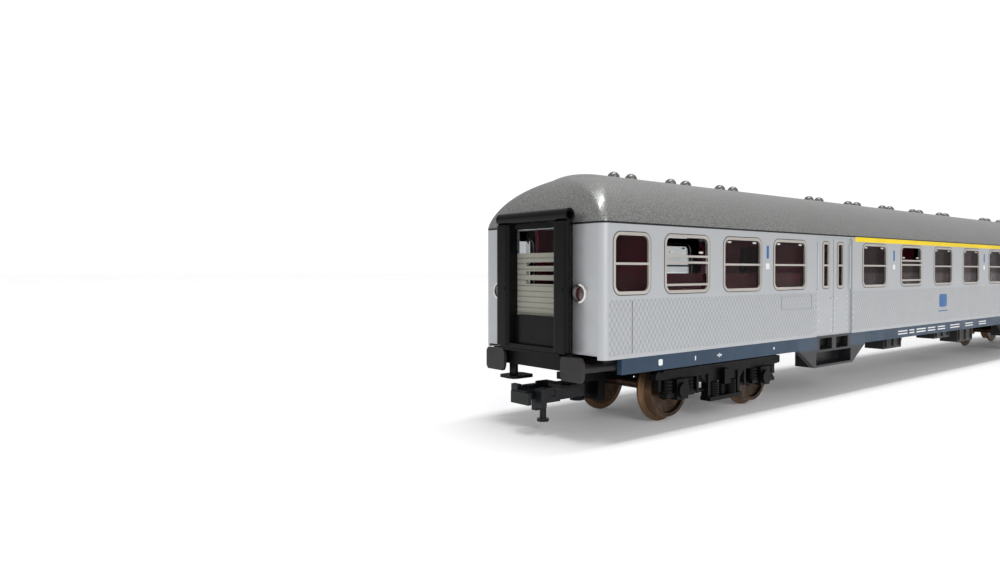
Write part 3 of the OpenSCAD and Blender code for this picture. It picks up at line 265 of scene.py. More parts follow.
def silver_paint(color):
    """Metallic side paint, with the staggered lens pattern pressed into the panels below the windows, and
    painted shade darkening the hollows of that pattern.
    """
    pitch_x, pitch_z = 1.1 * MM, 1.6 * MM
    skin_depth = 0.12 * MM
    foot, head, edge = 0.7 * MM, 0.75 * MM, 1.3 * MM
    material, tree, shader = new_finish("silver_paint", 0.5, 0.4, 0.1)
    x, y, z = split(tree)
    wave_x = calc(tree, "COSINE", calc(tree, "MULTIPLY", x, 2 * math.pi / pitch_x))
    wave_z = calc(tree, "COSINE", calc(tree, "MULTIPLY", z, 2 * math.pi / pitch_z))
    lens = calc(tree, "MULTIPLY_ADD", calc(tree, "MULTIPLY", wave_x, wave_z), 0.5, 0.5)
    on_side = calc(tree, "GREATER_THAN", calc(tree, "ABSOLUTE", y), HALF_W - skin_depth)
    above = calc(tree, "GREATER_THAN", z, SIDE_Z + foot)
    below = calc(tree, "LESS_THAN", z, WINDOW_Z0 - head)
    inside = calc(tree, "LESS_THAN", calc(tree, "ABSOLUTE", x), HALF_LEN - edge)
    panel = calc(tree, "MULTIPLY", calc(tree, "MULTIPLY", on_side, inside),
                 calc(tree, "MULTIPLY", above, below))
    pressed = calc(tree, "MULTIPLY", lens, panel)
    flake = noise(tree, 0.09 * MM, 1)
    plain = ramp(tree, flake, tint(color, 0.93), tint(color, 1.07), 0.3, 0.7)
    cloudy = mix(tree, spread(tree, noise(tree, 30 * MM, 3), 0.0, 0.3), plain, tint(color, 0.9))
    # Painted shade: the colour darkens towards 0.55 of the paint in the hollows of the pressed lens
    # pattern.
    hollow_shade = calc(tree, "MULTIPLY", spread(tree, lens, 0.5, 0.0, 0.1, 0.8), panel)
    tree.links.new(mix(tree, hollow_shade, cloudy, tint(color, 0.55)), shader.inputs["Base Color"])
    tree.links.new(spread(tree, noise(tree, 3 * MM), 0.36, 0.46), shader.inputs["Roughness"])
    height = calc(tree, "MULTIPLY_ADD", flake, 0.05, pressed)
    relief(tree, shader, height, 0.07 * MM)
    return material


def roof_paint(name, color):
    """Dark metallic paint with a coarse flake."""
    material, tree, shader = new_finish(name, 0.6, 0.33, 0.35)
    flake = noise(tree, 0.2 * MM, 2)
    speckled = ramp(tree, flake, tint(color, 0.55), tint(color, 1.6), 0.36, 0.66)
    cloud = spread(tree, noise(tree, 22 * MM, 3), 0.0, 0.35)
    tree.links.new(mix(tree, cloud, speckled, tint(color, 0.8)), shader.inputs["Base Color"])
    tree.links.new(spread(tree, flake, 0.3, 0.46), shader.inputs["Roughness"])
    relief(tree, shader, flake, 0.012 * MM)
    return material


def clear_plastic():
    """Clear moulded glazing: light goes through it, and its surface shines."""
    material, tree, shader = new_finish("clear_glazing", 0.0, 0.04, specular=0.25)
    shader.inputs["Transmission Weight"].default_value = 1.0
    shader.inputs["IOR"].default_value = 1.12
    smear = noise(tree, 4 * MM, 2)
    tree.links.new(ramp(tree, smear, (0.86, 0.9, 0.91), (0.95, 0.97, 0.98)), shader.inputs["Base Color"])
    tree.links.new(spread(tree, smear, 0.02, 0.06), shader.inputs["Roughness"])
    return material


def bright_metal():
    """Bright window frame metal, a little warm, with a fine grain."""
    return moulded("frame_metal", (0.5, 0.47, 0.43), 0.45, 0.34, 0.12 * MM, 0.004 * MM, 0.07)


def turned_bronze():
    """Blackened wheel metal with turned rings round each axle and worn, brighter treads."""
    ring_pitch = 0.32 * MM
    worn_from, worn_to = 5.2 * MM, 5.5 * MM
    material, tree, shader = new_finish("wheel_bronze", 0.8, 0.42)
    x, y, z = split(tree)
    boxes = [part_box(f"wheels_{i}") for i in WHEELSETS]
    axle_z = (boxes[0][0].z + boxes[0][1].z) / 2
    centres = [(low.x + high.x) / 2 for low, high in boxes]
    rise = calc(tree, "SUBTRACT", z, axle_z)
    radius = None
    for centre in centres:
        run = calc(tree, "SUBTRACT", x, centre)
        here = calc(tree, "SQRT", calc(tree, "ADD", calc(tree, "MULTIPLY", run, run),
                                       calc(tree, "MULTIPLY", rise, rise)))
        radius = here if radius is None else calc(tree, "MINIMUM", radius, here)
    wave = calc(tree, "SINE", calc(tree, "MULTIPLY", radius, 2 * math.pi / ring_pitch))
    rings = calc(tree, "MULTIPLY_ADD", wave, 0.5, 0.5)
    base = ramp(tree, noise(tree, 1.6 * MM, 3), (0.03, 0.018, 0.011), (0.08, 0.047, 0.027))
    tread = spread(tree, radius, 0.0, 1.0, worn_from, worn_to)
    tree.links.new(mix(tree, tread, base, (0.16, 0.092, 0.05)), shader.inputs["Base Color"])
    tree.links.new(spread(tree, noise(tree, 0.5 * MM), 0.28, 0.48), shader.inputs["Roughness"])
    relief(tree, shader, rings, 0.01 * MM)
    return material


def lamp_glass():
    """Dark red glass, unevenly dark, with a fine uneven surface."""
    material, tree, shader = new_finish("red_lens", 0.0, 0.08, 1.0, 0.7)
    tree.links.new(ramp(tree, noise(tree, 0.7 * MM, 2), (0.02, 0.006, 0.007), (0.075, 0.03, 0.03)),
                   shader.inputs["Base Color"])
    relief(tree, shader, noise(tree, 0.35 * MM, 1), 0.03 * MM)
    return material


def printed(name, color):
    """Ink printed on the side: nearly even, with a slightly broken surface."""
    return moulded(name, color, 0.0, 0.42, 0.14 * MM, 0.004 * MM, 0.07)


# ---------------------------------------------------------------- mesh helpers

def piece(name, mesh_builder, body, material, smooth=False):
    """A new object from a bmesh that mesh_builder fills, riding on a body."""
    bm = bmesh.new()
    mesh_builder(bm)
    bmesh.ops.recalc_face_normals(bm, faces=bm.faces)
    mesh = bpy.data.meshes.new(name)
    bm.to_mesh(mesh)
    bm.free()
    for polygon in mesh.polygons:
        polygon.use_smooth = smooth
    mesh.materials.append(material)
    made = bpy.data.objects.new(name, mesh)
    bpy.context.scene.collection.objects.link(made)
    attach(made, body)
    return made


def soften(target, width, segments=2, angle=35):
    """Rounds the hard edges of a piece with modifiers, which leave its mesh as it is."""
    weld = target.modifiers.new("join seams", "WELD")
    weld.merge_threshold = 0.0005 * MM
    bevel = target.modifiers.new("edge rounding", "BEVEL")
    bevel.width = width
    bevel.segments = segments
    bevel.limit_method = "ANGLE"
    bevel.angle_limit = math.radians(angle)
    normals = target.modifiers.new("even shading", "WEIGHTED_NORMAL")
    normals.keep_sharp = True
    normals.weight = 80


def paint(node, material):
    """Gives a node of the frame one finish."""
    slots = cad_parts[node].data.materials
    slots.clear()
    slots.append(material)


def loop_ring(bm, loops, cap=True):
    """Joins closed loops of points, each to the next, into one skin, and caps both ends."""
    rows = [[bm.verts.new(p) for p in loop] for loop in loops]
    for low, high in zip(rows, rows[1:]):
        for i in range(len(low)):
            j = (i + 1) % len(low)
            bm.faces.new((low[i], low[j], high[j], high[i]))
    if cap:
        bm.faces.new(rows[0][::-1])
        bm.faces.new(rows[-1])
    return rows


def close_ring(bm, rows):
    """Joins the last row back to the first, so that the skin is a closed ring."""
    for i in range(len(rows[0])):
        j = (i + 1) % len(rows[0])
        bm.faces.new((rows[-1][i], rows[-1][j], rows[0][j], rows[0][i]))


def rounded_outline(cx, cz, w, h, r, steps=8):
    """Points of a rectangle with round corners in X and Z."""
    points = []
    for quarter, (sx, sz) in enumerate(((1, 1), (-1, 1), (-1, -1), (1, -1))):
        for i in range(steps + 1):
            a = math.radians(90 * quarter + 90 * i / steps)
            points.append((cx + sx * (w / 2 - r) + r * math.cos(a),
                           cz + sz * (h / 2 - r) + r * math.sin(a)))
    return points


def side_plate(bm, side, outline, y0, y1):
    """A flat plate with that outline, from y0 to y1 out from the middle, on side +1 or -1."""
    loop_ring(bm, [[(x, side * y, z) for x, z in outline] for y in (y0, y1)])


def side_frame(bm, side, outer, inner, y0, y1):
    """A flat frame between two outlines with the same number of points."""
    loops = [(outer, y0), (outer, y1), (inner, y1), (inner, y0)]
    rows = loop_ring(bm, [[(x, side * y, z) for x, z in outline] for outline, y in loops], cap=False)
    close_ring(bm, rows)


def turned(bm, profile, origin, axis, steps):
    """Turns a profile of (distance along the axis, radius) points round an X or Y axis through origin."""
    ox, oy, oz = origin
    loops = []
    for along, radius in profile:
        ring = []
        for i in range(steps):
            a = 2 * math.pi * i / steps
            u, v = radius * math.cos(a), radius * math.sin(a)
            ring.append((ox + along, oy + u, oz + v) if axis == "X" else (ox + u, oy + along, oz + v))
        loops.append(ring)
    loop_ring(bm, loops)


def rod(bm, points, radius, steps=8):
    """A round rod along a list of points."""
    loops = []
    for i, point in enumerate(points):
        before = Vector(points[max(i - 1, 0)])
        after = Vector(points[min(i + 1, len(points) - 1)])
        along = (after - before).normalized()
        across = along.cross(Vector((0.13, 0.31, 0.94))).normalized()
        up = along.cross(across)
        loops.append([Vector(point) + radius * (math.cos(a) * across + math.sin(a) * up)
                      for a in (2 * math.pi * k / steps for k in range(steps))])
    loop_ring(bm, loops)


# ---------------------------------------------------------------- operators

class COACH_OT_walls(bpy.types.Operator):
    """Paints the body shell."""
    bl_idname = "coach.walls"
    bl_label = "Walls"

    def execute(self, context):
        paint("body_shell", silver_paint(tuple(context.scene.coach_paint.side)))
        return {"FINISHED"}


class COACH_OT_roof(bpy.types.Operator):
    """Builds the smooth domed roof, adds a black band of painted shadow under the eaves and finishes the
    ventilators.
    """
    bl_idname = "coach.roof"
    bl_label = "Roof"

    rise_power = 1.4
    side_power = 2.05
    dome_power = 3.2
    corner_power = 1.75
    dome_len = 12.9 * MM
    corner_r = 1.4 * MM
    wall = 1.0 * MM
    steps = 40
    corner_steps = 16
    last_angle = 89  # degrees up the curve at the topmost ring, where the roof is all but flat
    # Insets and heights of the black band of painted shadow under the eaves, in millimetres.
    eave_shadow_in = 0.5
    eave_shadow_out = -0.02
    eave_shadow_foot = -0.34
    eave_shadow_head = -0.01

    def rings(self, inset):
        """Rings of the surface that lies inset inside the outside of the roof."""
        rise = ROOF_HI.z - SIDE_TOP
        for k in range(self.steps + 1):
            angle = math.radians(self.last_angle * k / self.steps)
            inward = 1 - math.cos(angle) ** (2 / self.side_power)
            end_inward = 1 - math.cos(angle) ** (2 / self.dome_power)
            upward = math.sin(angle) ** (2 / self.rise_power)
            width = 2 * (HALF_W - inset) * (1 - inward)
            length = 2 * (HALF_LEN - inset) - 2 * self.dome_len * end_inward
            round_r = self.corner_r - inset / 2 + (HALF_W - self.corner_r) * inward ** self.corner_power
            round_r = min(width / 2 - 0.01 * MM, round_r)
            outline = rounded_outline(0, 0, length, width, round_r, self.corner_steps)
            height = SIDE_TOP + (rise - inset) * upward
            yield [(x, y, height) for x, y in outline]

    def fill(self, bm):
        """The outer skin and the lining, joined along the eaves."""
        outer = list(self.rings(0))
        inner = list(self.rings(self.wall))
        shell = loop_ring(bm, outer, cap=False)
        lining = loop_ring(bm, inner, cap=False)
        bm.faces.new(shell[-1])
        bm.faces.new(lining[-1])
        for i in range(len(shell[0])):
            j = (i + 1) % len(shell[0])
            bm.faces.new((shell[0][i], shell[0][j], lining[0][j], lining[0][i]))

    def eave_shadow(self, bm):
        """A black band under the eaves, all round the body: a painted shadow line in the groove there."""
        loops = []
        for inset, z in ((self.eave_shadow_in, self.eave_shadow_foot), (self.eave_shadow_out, self.eave_shadow_foot),
                         (self.eave_shadow_out, self.eave_shadow_head), (self.eave_shadow_in, self.eave_shadow_head)):
            inset *= MM
            outline = rounded_outline(0, 0, 2 * (HALF_LEN - inset), 2 * (HALF_W - inset),
                                      self.corner_r - inset, 12)
            loops.append([(x, y, SIDE_TOP + z * MM) for x, y in outline])
        close_ring(bm, loop_ring(bm, loops, cap=False))

    def execute(self, context):
        color = tuple(context.scene.coach_paint.roof)
        roof = piece("roof_shell", self.fill, "coach", roof_paint("roof_paint", color), True)
        sharp = roof.data.attributes.new("sharp_edge", "BOOLEAN", "EDGE")
        rim_z = SIDE_TOP + 0.001 * MM
        for edge in roof.data.edges:
            sharp.data[edge.index].value = all(roof.data.vertices[v].co.z < rim_z for v in edge.vertices)
        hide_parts("roof")
        # Painted shadow: a black band fills the groove under the eaves.
        eave_shadow = moulded("roof_eave_shadow", (0.008, 0.008, 0.009), 0.0, 0.5)
        piece("roof_eave_shadow", self.eave_shadow, "coach", eave_shadow)
        paint("roof_ventilators", roof_paint("ventilator_paint", tint(color, 0.62)))
        return {"FINISHED"}


class COACH_OT_windows(bpy.types.Operator):
    """Finishes the window frames and glazing, and adds the dark lines of painted shade round the frames and
    the sash catches.
    """
    bl_idname = "coach.windows"
    bl_label = "Windows"

    # Painted shade over the gap round each frame: its inset, depth and how far it stands proud.
    gap_shade_inset = 0.12 * MM
    gap_shade_depth = 0.25 * MM
    gap_shade_proud = 0.012 * MM
    catch_w, catch_h = 1.1 * MM, 0.36 * MM
    catch_spread = 4.3 * MM
    catch_drop = 1.05 * MM
    lowered_rise = 7.45 * MM

    def each_window(self):
        """The place, width, corner radius and skin of every window on one side."""
        for x in WIDE_X:
            yield x, WIDE_W, WINDOW_R, HALF_W
        for side in (-1, 1):
            yield side * WC_X, WC_W, WINDOW_R, HALF_W
            for leaf in (-1, 1):
                x = side * DOOR_X + leaf * DOOR_LEAF_GAP / 2
                yield x, DOOR_GLASS_W, DOOR_GLASS_R, HALF_W - DOOR_RECESS

    def gap_shades(self, side, width):
        """A dark line round each window frame: painted shade over the gap between the frame and the wall.
        """
        def fill(bm):
            gap = self.gap_shade_inset
            out = width - gap
            for x, w, r, skin in self.each_window():
                outer = rounded_outline(x, WINDOW_MID_Z, w + 2 * out, WINDOW_H + 2 * out, r + width - gap)
                inner = rounded_outline(x, WINDOW_MID_Z, w - 2 * gap, WINDOW_H - 2 * gap, r - gap)
                side_frame(bm, side, outer, inner, skin - self.gap_shade_depth, skin + self.gap_shade_proud)
        return fill

    def catches(self, side):
        """Two catches on each sash, lower where the sash is down."""
        def fill(bm):
            for x in WIDE_X:
                z = WINDOW_Z0 + self.lowered_rise if x in OPEN_X else WINDOW_Z1 - self.catch_drop
                for end in (-1, 1):
                    tab = rounded_outline(x + end * self.catch_spread, z, self.catch_w, self.catch_h,
                                          0.1 * MM, 3)
                    side_plate(bm, side, tab, HALF_W - 0.42 * MM, HALF_W - 0.2 * MM)
        return fill

    def execute(self, context):
        metal, glass = bright_metal(), clear_plastic()
        # Painted shade: near-black for the line round each window frame; the same name also serves the
        # gangway rubber.
        rubber_and_gap_shade = moulded("window_gap_shade", (0.035, 0.03, 0.028), 0.0, 0.6)
        white = moulded("catch_white", (0.55, 0.53, 0.5), 0.0, 0.4)
        width = context.scene.coach_trim.gap_shade_width
        for name, side in SIDES:
            paint(f"window_frames_{name}", metal)
            paint(f"glazing_{name}", glass)
            piece(f"window_gap_shades_{name}", self.gap_shades(side, width), "coach", rubber_and_gap_shade)
            piece(f"sash_catches_{name}", self.catches(side), "coach", white)
        for name in ENDS:
            paint(f"end_window_{name}", glass)
        return {"FINISHED"}


class COACH_OT_printing(bpy.types.Operator):
    """Adds the class stripe, the plain side marks and the small data plates."""
    bl_idname = "coach.printing"
    bl_label = "Printing"

    # Places are in millimetres: from the end, width and height; then from the middle and width.
    end_plates = ((14.6, 1.1, 1.1), (24.6, 0.3, 0.8), (32.1, 1.4, 0.3), (32.1, 0.3, 0.8),
                  (51.2, 0.45, 0.45))
    dashes = ((-26, 5.6), (-20.5, 3), (-14.5, 6), (-7.6, 5), (-0.8, 5.2), (9, 7), (20, 6), (31, 6))
    dash_rows = (-0.35, 0.35)
    dash_h = 0.3
    ink_depth = 0.05 * MM

    def stripe(self, side, half, height):
        """The stripe just under the roof."""
        def fill(bm):
            middle = SIDE_TOP - 0.25 * MM - height / 2
            side_plate(bm, side, rounded_outline(0, middle, 2 * half, height, 0.05 * MM, 2),
                       HALF_W - self.ink_depth, HALF_W + SKIN)
        return fill

    def plates(self, side, plates, skin=HALF_W):
        """Plain plates, each given by its middle, width and height."""
        def fill(bm):
            for x, z, w, h in plates:
                side_plate(bm, side, rounded_outline(x, z, w, h, min(w, h) * 0.2, 3),
                           skin - self.ink_depth, skin + SKIN)
        return fill

    def execute(self, context):
        colors, trim = context.scene.coach_paint, context.scene.coach_trim
        yellow = printed("stripe_yellow", tuple(colors.stripe))
        blue = printed("mark_blue", tuple(colors.marks))
        white = printed("label_white", (0.8, 0.81, 0.82))
        beside = ((SALOON_X[1] + SALOON_X[2]) / 2, FIRST_X[-1] * 0.75)
        mark_xs = [end * x for end in (-1, 1) for x in beside]
        mark_z = WINDOW_Z1 - 2.8 * MM
        blue_plates = [(x, mark_z, 0.8 * MM, 2.6 * MM) for x in mark_xs]
        blue_plates += [(0, SIDE_Z + 6.3 * MM, 5.2 * MM, 3.6 * MM),
                        (0, SIDE_Z + 3.4 * MM, 6.4 * MM, 0.28 * MM)]
        white_plates = [(x, mark_z - 2.9 * MM, 1.3 * MM, 1.2 * MM) for x in mark_xs]
        low_z = (SOLEBAR_LO.z + SOLEBAR_HI.z) / 2
        sole_skin = SOLEBAR_HI.y
        sole_plates = [(end * (HALF_LEN - at * MM), low_z, w * MM, h * MM)
                       for end in (-1, 1) for at, w, h in self.end_plates]
        sole_plates += [(x * MM, low_z + row * MM, w * MM, self.dash_h * MM)
                        for row in self.dash_rows for x, w in self.dashes]
        for name, side in SIDES:
            piece(f"class_stripe_{name}", self.stripe(side, trim.stripe_half, trim.stripe_height),
                  "coach", yellow)
            piece(f"class_marks_{name}", self.plates(side, blue_plates), "coach", blue)
            piece(f"side_labels_{name}", self.plates(side, white_plates), "coach", white)
            piece(f"solebar_labels_{name}", self.plates(side, sole_plates, sole_skin),
                  "coach", white)
        return {"FINISHED"}


class COACH_OT_doors(bpy.types.Operator):
    """Adds the hinge pins, grab rails and grips of the folding doors."""
    bl_idname = "coach.doors"
    bl_label = "Door fittings"

    hinge_rows = 7
    hinge_foot, hinge_pitch = 1.0, 1.3
    rail_from, rail_to = 10.4 * MM, 21.0 * MM
    rail_stand, rail_bend = 0.28 * MM, 0.3 * MM
    grip_rise = 8.4 * MM

    def hinges(self, side):
        """Columns of small pins beside the leaves and their meeting lines."""
        def fill(bm):
            leaf_skin = HALF_W - DOOR_RECESS
            columns = [(s * at, leaf_skin) for at in (0.65 * MM, DOOR_W / 2 - 1.6 * MM) for s in (-1, 1)]
            columns += [(s * (DOOR_W / 2 + 0.8 * MM), HALF_W) for s in (-1, 1)]
            for end in (-1, 1):
                for from_door, skin in columns:
                    for k in range(self.hinge_rows):
                        rise = (self.hinge_foot + self.hinge_pitch * k) * MM
                        origin = (end * DOOR_X + from_door, side * skin, SIDE_Z + rise)
                        turned(bm, [(-side * 0.05 * MM, 0.2 * MM), (side * 0.02 * MM, 0.2 * MM),
                                    (side * 0.045 * MM, 0.12 * MM)], origin, "Y", 8)
        return fill

    def rails(self, side):
        """An upright rail at the outside of each leaf and a grip beside the meeting line."""
        def fill(bm):
            skin = HALF_W - DOOR_RECESS
            stand = skin + self.rail_stand
            bend = self.rail_bend
            z0, z1 = SIDE_Z + self.rail_from, SIDE_Z + self.rail_to
            for end in (-1, 1):
                for leaf in (-1, 1):
                    x = end * DOOR_X + leaf * (DOOR_W / 2 - 0.8 * MM)
                    rod(bm, [(x, side * skin, z0), (x, side * stand, z0 + bend),
                             (x, side * stand, z1 - bend), (x, side * skin, z1)], 0.1 * MM)
                for leaf in (-1, 1):
                    x = end * DOOR_X + leaf * 0.9 * MM
                    grip = rounded_outline(x, SIDE_Z + self.grip_rise, 0.9 * MM, 0.4 * MM, 0.12 * MM, 3)
                    side_plate(bm, side, grip, skin - 0.02 * MM, skin + 0.2 * MM)
        return fill

    def execute(self, context):
        metal = moulded("door_metal", (0.62, 0.63, 0.64), 0.4, 0.35)
        for name, side in SIDES:
            piece(f"door_hinges_{name}", self.hinges(side), "coach", metal, True)
            piece(f"door_rails_{name}", self.rails(side), "coach", metal, True)
        return {"FINISHED"}


class COACH_OT_interior(bpy.types.Operator):
    """Finishes what shows through the windows."""
    bl_idname = "coach.interior"
    bl_label = "Interior"

    def execute(self, context):
        color = tuple(context.scene.coach_paint.interior)
        paint("interior_moulding", moulded("interior_plastic", color, 0.0, 0.34))
        paint("seats", moulded("seat_plastic", tint(color, 1.35), 0.0, 0.4))
        paint("ballast_plate", moulded("ballast_steel", (0.36, 0.37, 0.38), 0.9, 0.4))
        return {"FINISHED"}


class COACH_OT_underframe(bpy.types.Operator):
    """Finishes the underframe, solebars, step units, boxes and tanks."""
    bl_idname = "coach.underframe"
    bl_label = "Underframe"

    bare_to, blue_from = 7.0 * MM, 8.2 * MM
    # Size and place of the dark plate of painted shade behind the upper step recesses.
    back_w, back_h = 14.4 * MM, 1.5 * MM
    back_drop = 1.5 * MM
    back_inner, back_outer = 1.6 * MM, 1.35 * MM

    def step_paint(self, color):
        """Blue paint on the outside, level with the solebar, and bare plastic round the recesses."""
        material, tree, shader = new_finish("step_paint", 0.0, 0.42)
        x, y, z = split(tree)
        painted = ramp(tree, noise(tree, 7 * MM, 3), tint(color, 0.85), tint(color, 1.15))
        bare = ramp(tree, noise(tree, 5 * MM, 3), (0.01, 0.01, 0.012), (0.018, 0.018, 0.021))
        ragged = calc(tree, "MULTIPLY_ADD", noise(tree, 1.5 * MM), 0.25 * MM, z)
        upper = spread(tree, ragged, 0.0, 1.0, SOLEBAR_LO.z - 0.5 * MM, SOLEBAR_LO.z + 0.4 * MM)
        outside = calc(tree, "GREATER_THAN", calc(tree, "ABSOLUTE", y), HALF_W - 0.5 * MM)
        from_door = distance(tree, calc(tree, "ABSOLUTE", x), DOOR_X)
        beside = spread(tree, from_door, 0.0, 1.0, self.bare_to, self.blue_from)
        blue_part = calc(tree, "MULTIPLY", calc(tree, "MULTIPLY", upper, outside), beside)
        tree.links.new(mix(tree, blue_part, bare, painted), shader.inputs["Base Color"])
        relief(tree, shader, noise(tree, 0.25 * MM), 0.006 * MM)
        return material

    def step_recess_shades(self, bm):
        """Closes the upper step recesses with a dark plate behind each pair: painted shade where they would
        be seen through.
        """
        for side in (-1, 1):
            for end in (-1, 1):
                outline = rounded_outline(end * DOOR_X, SIDE_Z - self.back_drop, self.back_w, self.back_h,
                                          0.2 * MM, 2)
                side_plate(bm, side, outline, HALF_W - self.back_inner, HALF_W - self.back_outer)

    def execute(self, context):
        blue = tuple(context.scene.coach_paint.solebar)
        edge = context.scene.coach_trim.edge_round
        solebar = moulded("solebar_paint", blue, 0.0, 0.4, vary=0.1)
        steps = self.step_paint(blue)
        black = moulded("black_plastic", (0.004, 0.004, 0.0045), 0.0, 0.42, specular=0.14)
        charcoal = moulded("charcoal_plastic", (0.028, 0.026, 0.025), 0.0, 0.45, specular=0.25)
        steel = moulded("pivot_steel", (0.42, 0.42, 0.41), 0.9, 0.35)
        for side, _ in SIDES:
            paint(f"solebar_{side}", solebar)
            for end in ENDS:
                paint(f"door_steps_{end}_{side}", steps)
                soften(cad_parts[f"door_steps_{end}_{side}"], edge)
        for node, material in (("underframe", black), ("air_tanks", black), ("equipment_boxes", charcoal)):
            paint(node, material)
            soften(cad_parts[node], edge)
        # Painted shade: a black plate behind the upper step recesses.
        piece("step_recess_shades", self.step_recess_shades, "coach", black)
        for end in ENDS:
            paint(f"headstock_{end}", black)
            paint(f"buffers_{end}", charcoal)
            paint(f"bogie_pivot_{end}", steel)
            soften(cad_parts[f"headstock_{end}"], edge)
            soften(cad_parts[f"buffers_{end}"], 2 * edge, 3, 25)
        return {"FINISHED"}


class COACH_OT_ends(bpy.types.Operator):
    """Finishes the gangways, roller shutters and bridge plates, and builds the lamp lenses."""
    bl_idname = "coach.ends"
    bl_label = "Ends"

    lens_depth, dome_depth = 0.4 * MM, 0.25 * MM
    dome_steps = 8

    def lenses(self, bm):
        """A domed lens in each of the four lamp rims."""
        low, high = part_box("tail_lamp_lenses")
        radius = (high.z - low.z) / 2
        mid_z = (high.z + low.z) / 2
        lamp_y = high.y - radius
        for end, face in ((-1, low.x), (1, high.x)):
            for side in (-1, 1):
                profile = [(-end * self.lens_depth, radius), (-end * self.dome_depth, radius)]
                for k in range(1, self.dome_steps):
                    a = math.radians(90 * k / self.dome_steps)
                    profile.append((-end * self.dome_depth * (1 - math.sin(a)), radius * math.cos(a)))
                turned(bm, profile, (face, side * lamp_y, mid_z), "X", 32)

    def execute(self, context):
        edge = context.scene.coach_trim.edge_round
        rubber_and_gap_shade = moulded("black_rubber", (0.005, 0.005, 0.005), 0.0, 0.24, 0.6 * MM, 0.01 * MM,
                         specular=0.12)
        shutter = moulded("shutter_grey", (0.33, 0.325, 0.275), 0.0, 0.5, vary=0.06)
        chrome = moulded("lamp_rim", (0.7, 0.69, 0.66), 0.95, 0.16)
        for end in ENDS:
            paint(f"gangway_rubber_{end}", rubber_and_gap_shade)
            paint(f"gangway_top_roll_{end}", rubber_and_gap_shade)
            paint(f"bridge_plate_{end}", rubber_and_gap_shade)
            paint(f"roller_shutter_{end}", shutter)
            soften(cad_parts[f"gangway_rubber_{end}"], 2.5 * edge, 3, 40)
            soften(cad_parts[f"bridge_plate_{end}"], 2 * edge, 3, 40)
            soften(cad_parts[f"roller_shutter_{end}"], 0.5 * edge)
        paint("tail_lamp_rims", chrome)
        soften(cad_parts["tail_lamp_rims"], edge)
        lens = piece("lamp_lenses", self.lenses, "coach", lamp_glass(), True)
        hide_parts("tail_lamp_lenses")
        return {"FINISHED"}


class COACH_OT_bogies(bpy.types.Operator):
    """Finishes the bogies, axles and wheels."""
    bl_idname = "coach.bogies"
    bl_label = "Bogies"

    def execute(self, context):
        frame_black = moulded("bogie_plastic", (0.003, 0.003, 0.0035), 0.0, 0.4, 0.35 * MM, 0.01 * MM,
                              0.25, specular=0.12)
        bronze = turned_bronze()
        bush = moulded("bush_plastic", (0.03, 0.028, 0.027), 0.0, 0.4)
        for end in ENDS:
            paint(f"bogie_frame_{end}", frame_black)
        for i in WHEELSETS:
            paint(f"axle_{i}", bronze)
            paint(f"wheels_{i}", bronze)
            paint(f"wheel_bushes_{i}", bush)
        return {"FINISHED"}


class COACH_OT_couplings(bpy.types.Operator):
    """Finishes the couplings."""
    bl_idname = "coach.couplings"
    bl_label = "Couplings"

    def execute(self, context):
        edge = context.scene.coach_trim.edge_round
        head = moulded("coupler_plastic", (0.009, 0.01, 0.012), 0.0, 0.36, specular=0.25)
        hook = moulded("hook_plastic", (0.007, 0.008, 0.009), 0.0, 0.33, specular=0.25)
        for end in ENDS:
            paint(f"coupler_body_{end}", head)
            paint(f"coupler_hook_{end}", hook)
            soften(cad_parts[f"coupler_body_{end}"], edge)
            soften(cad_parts[f"coupler_hook_{end}"], edge)
        return {"FINISHED"}


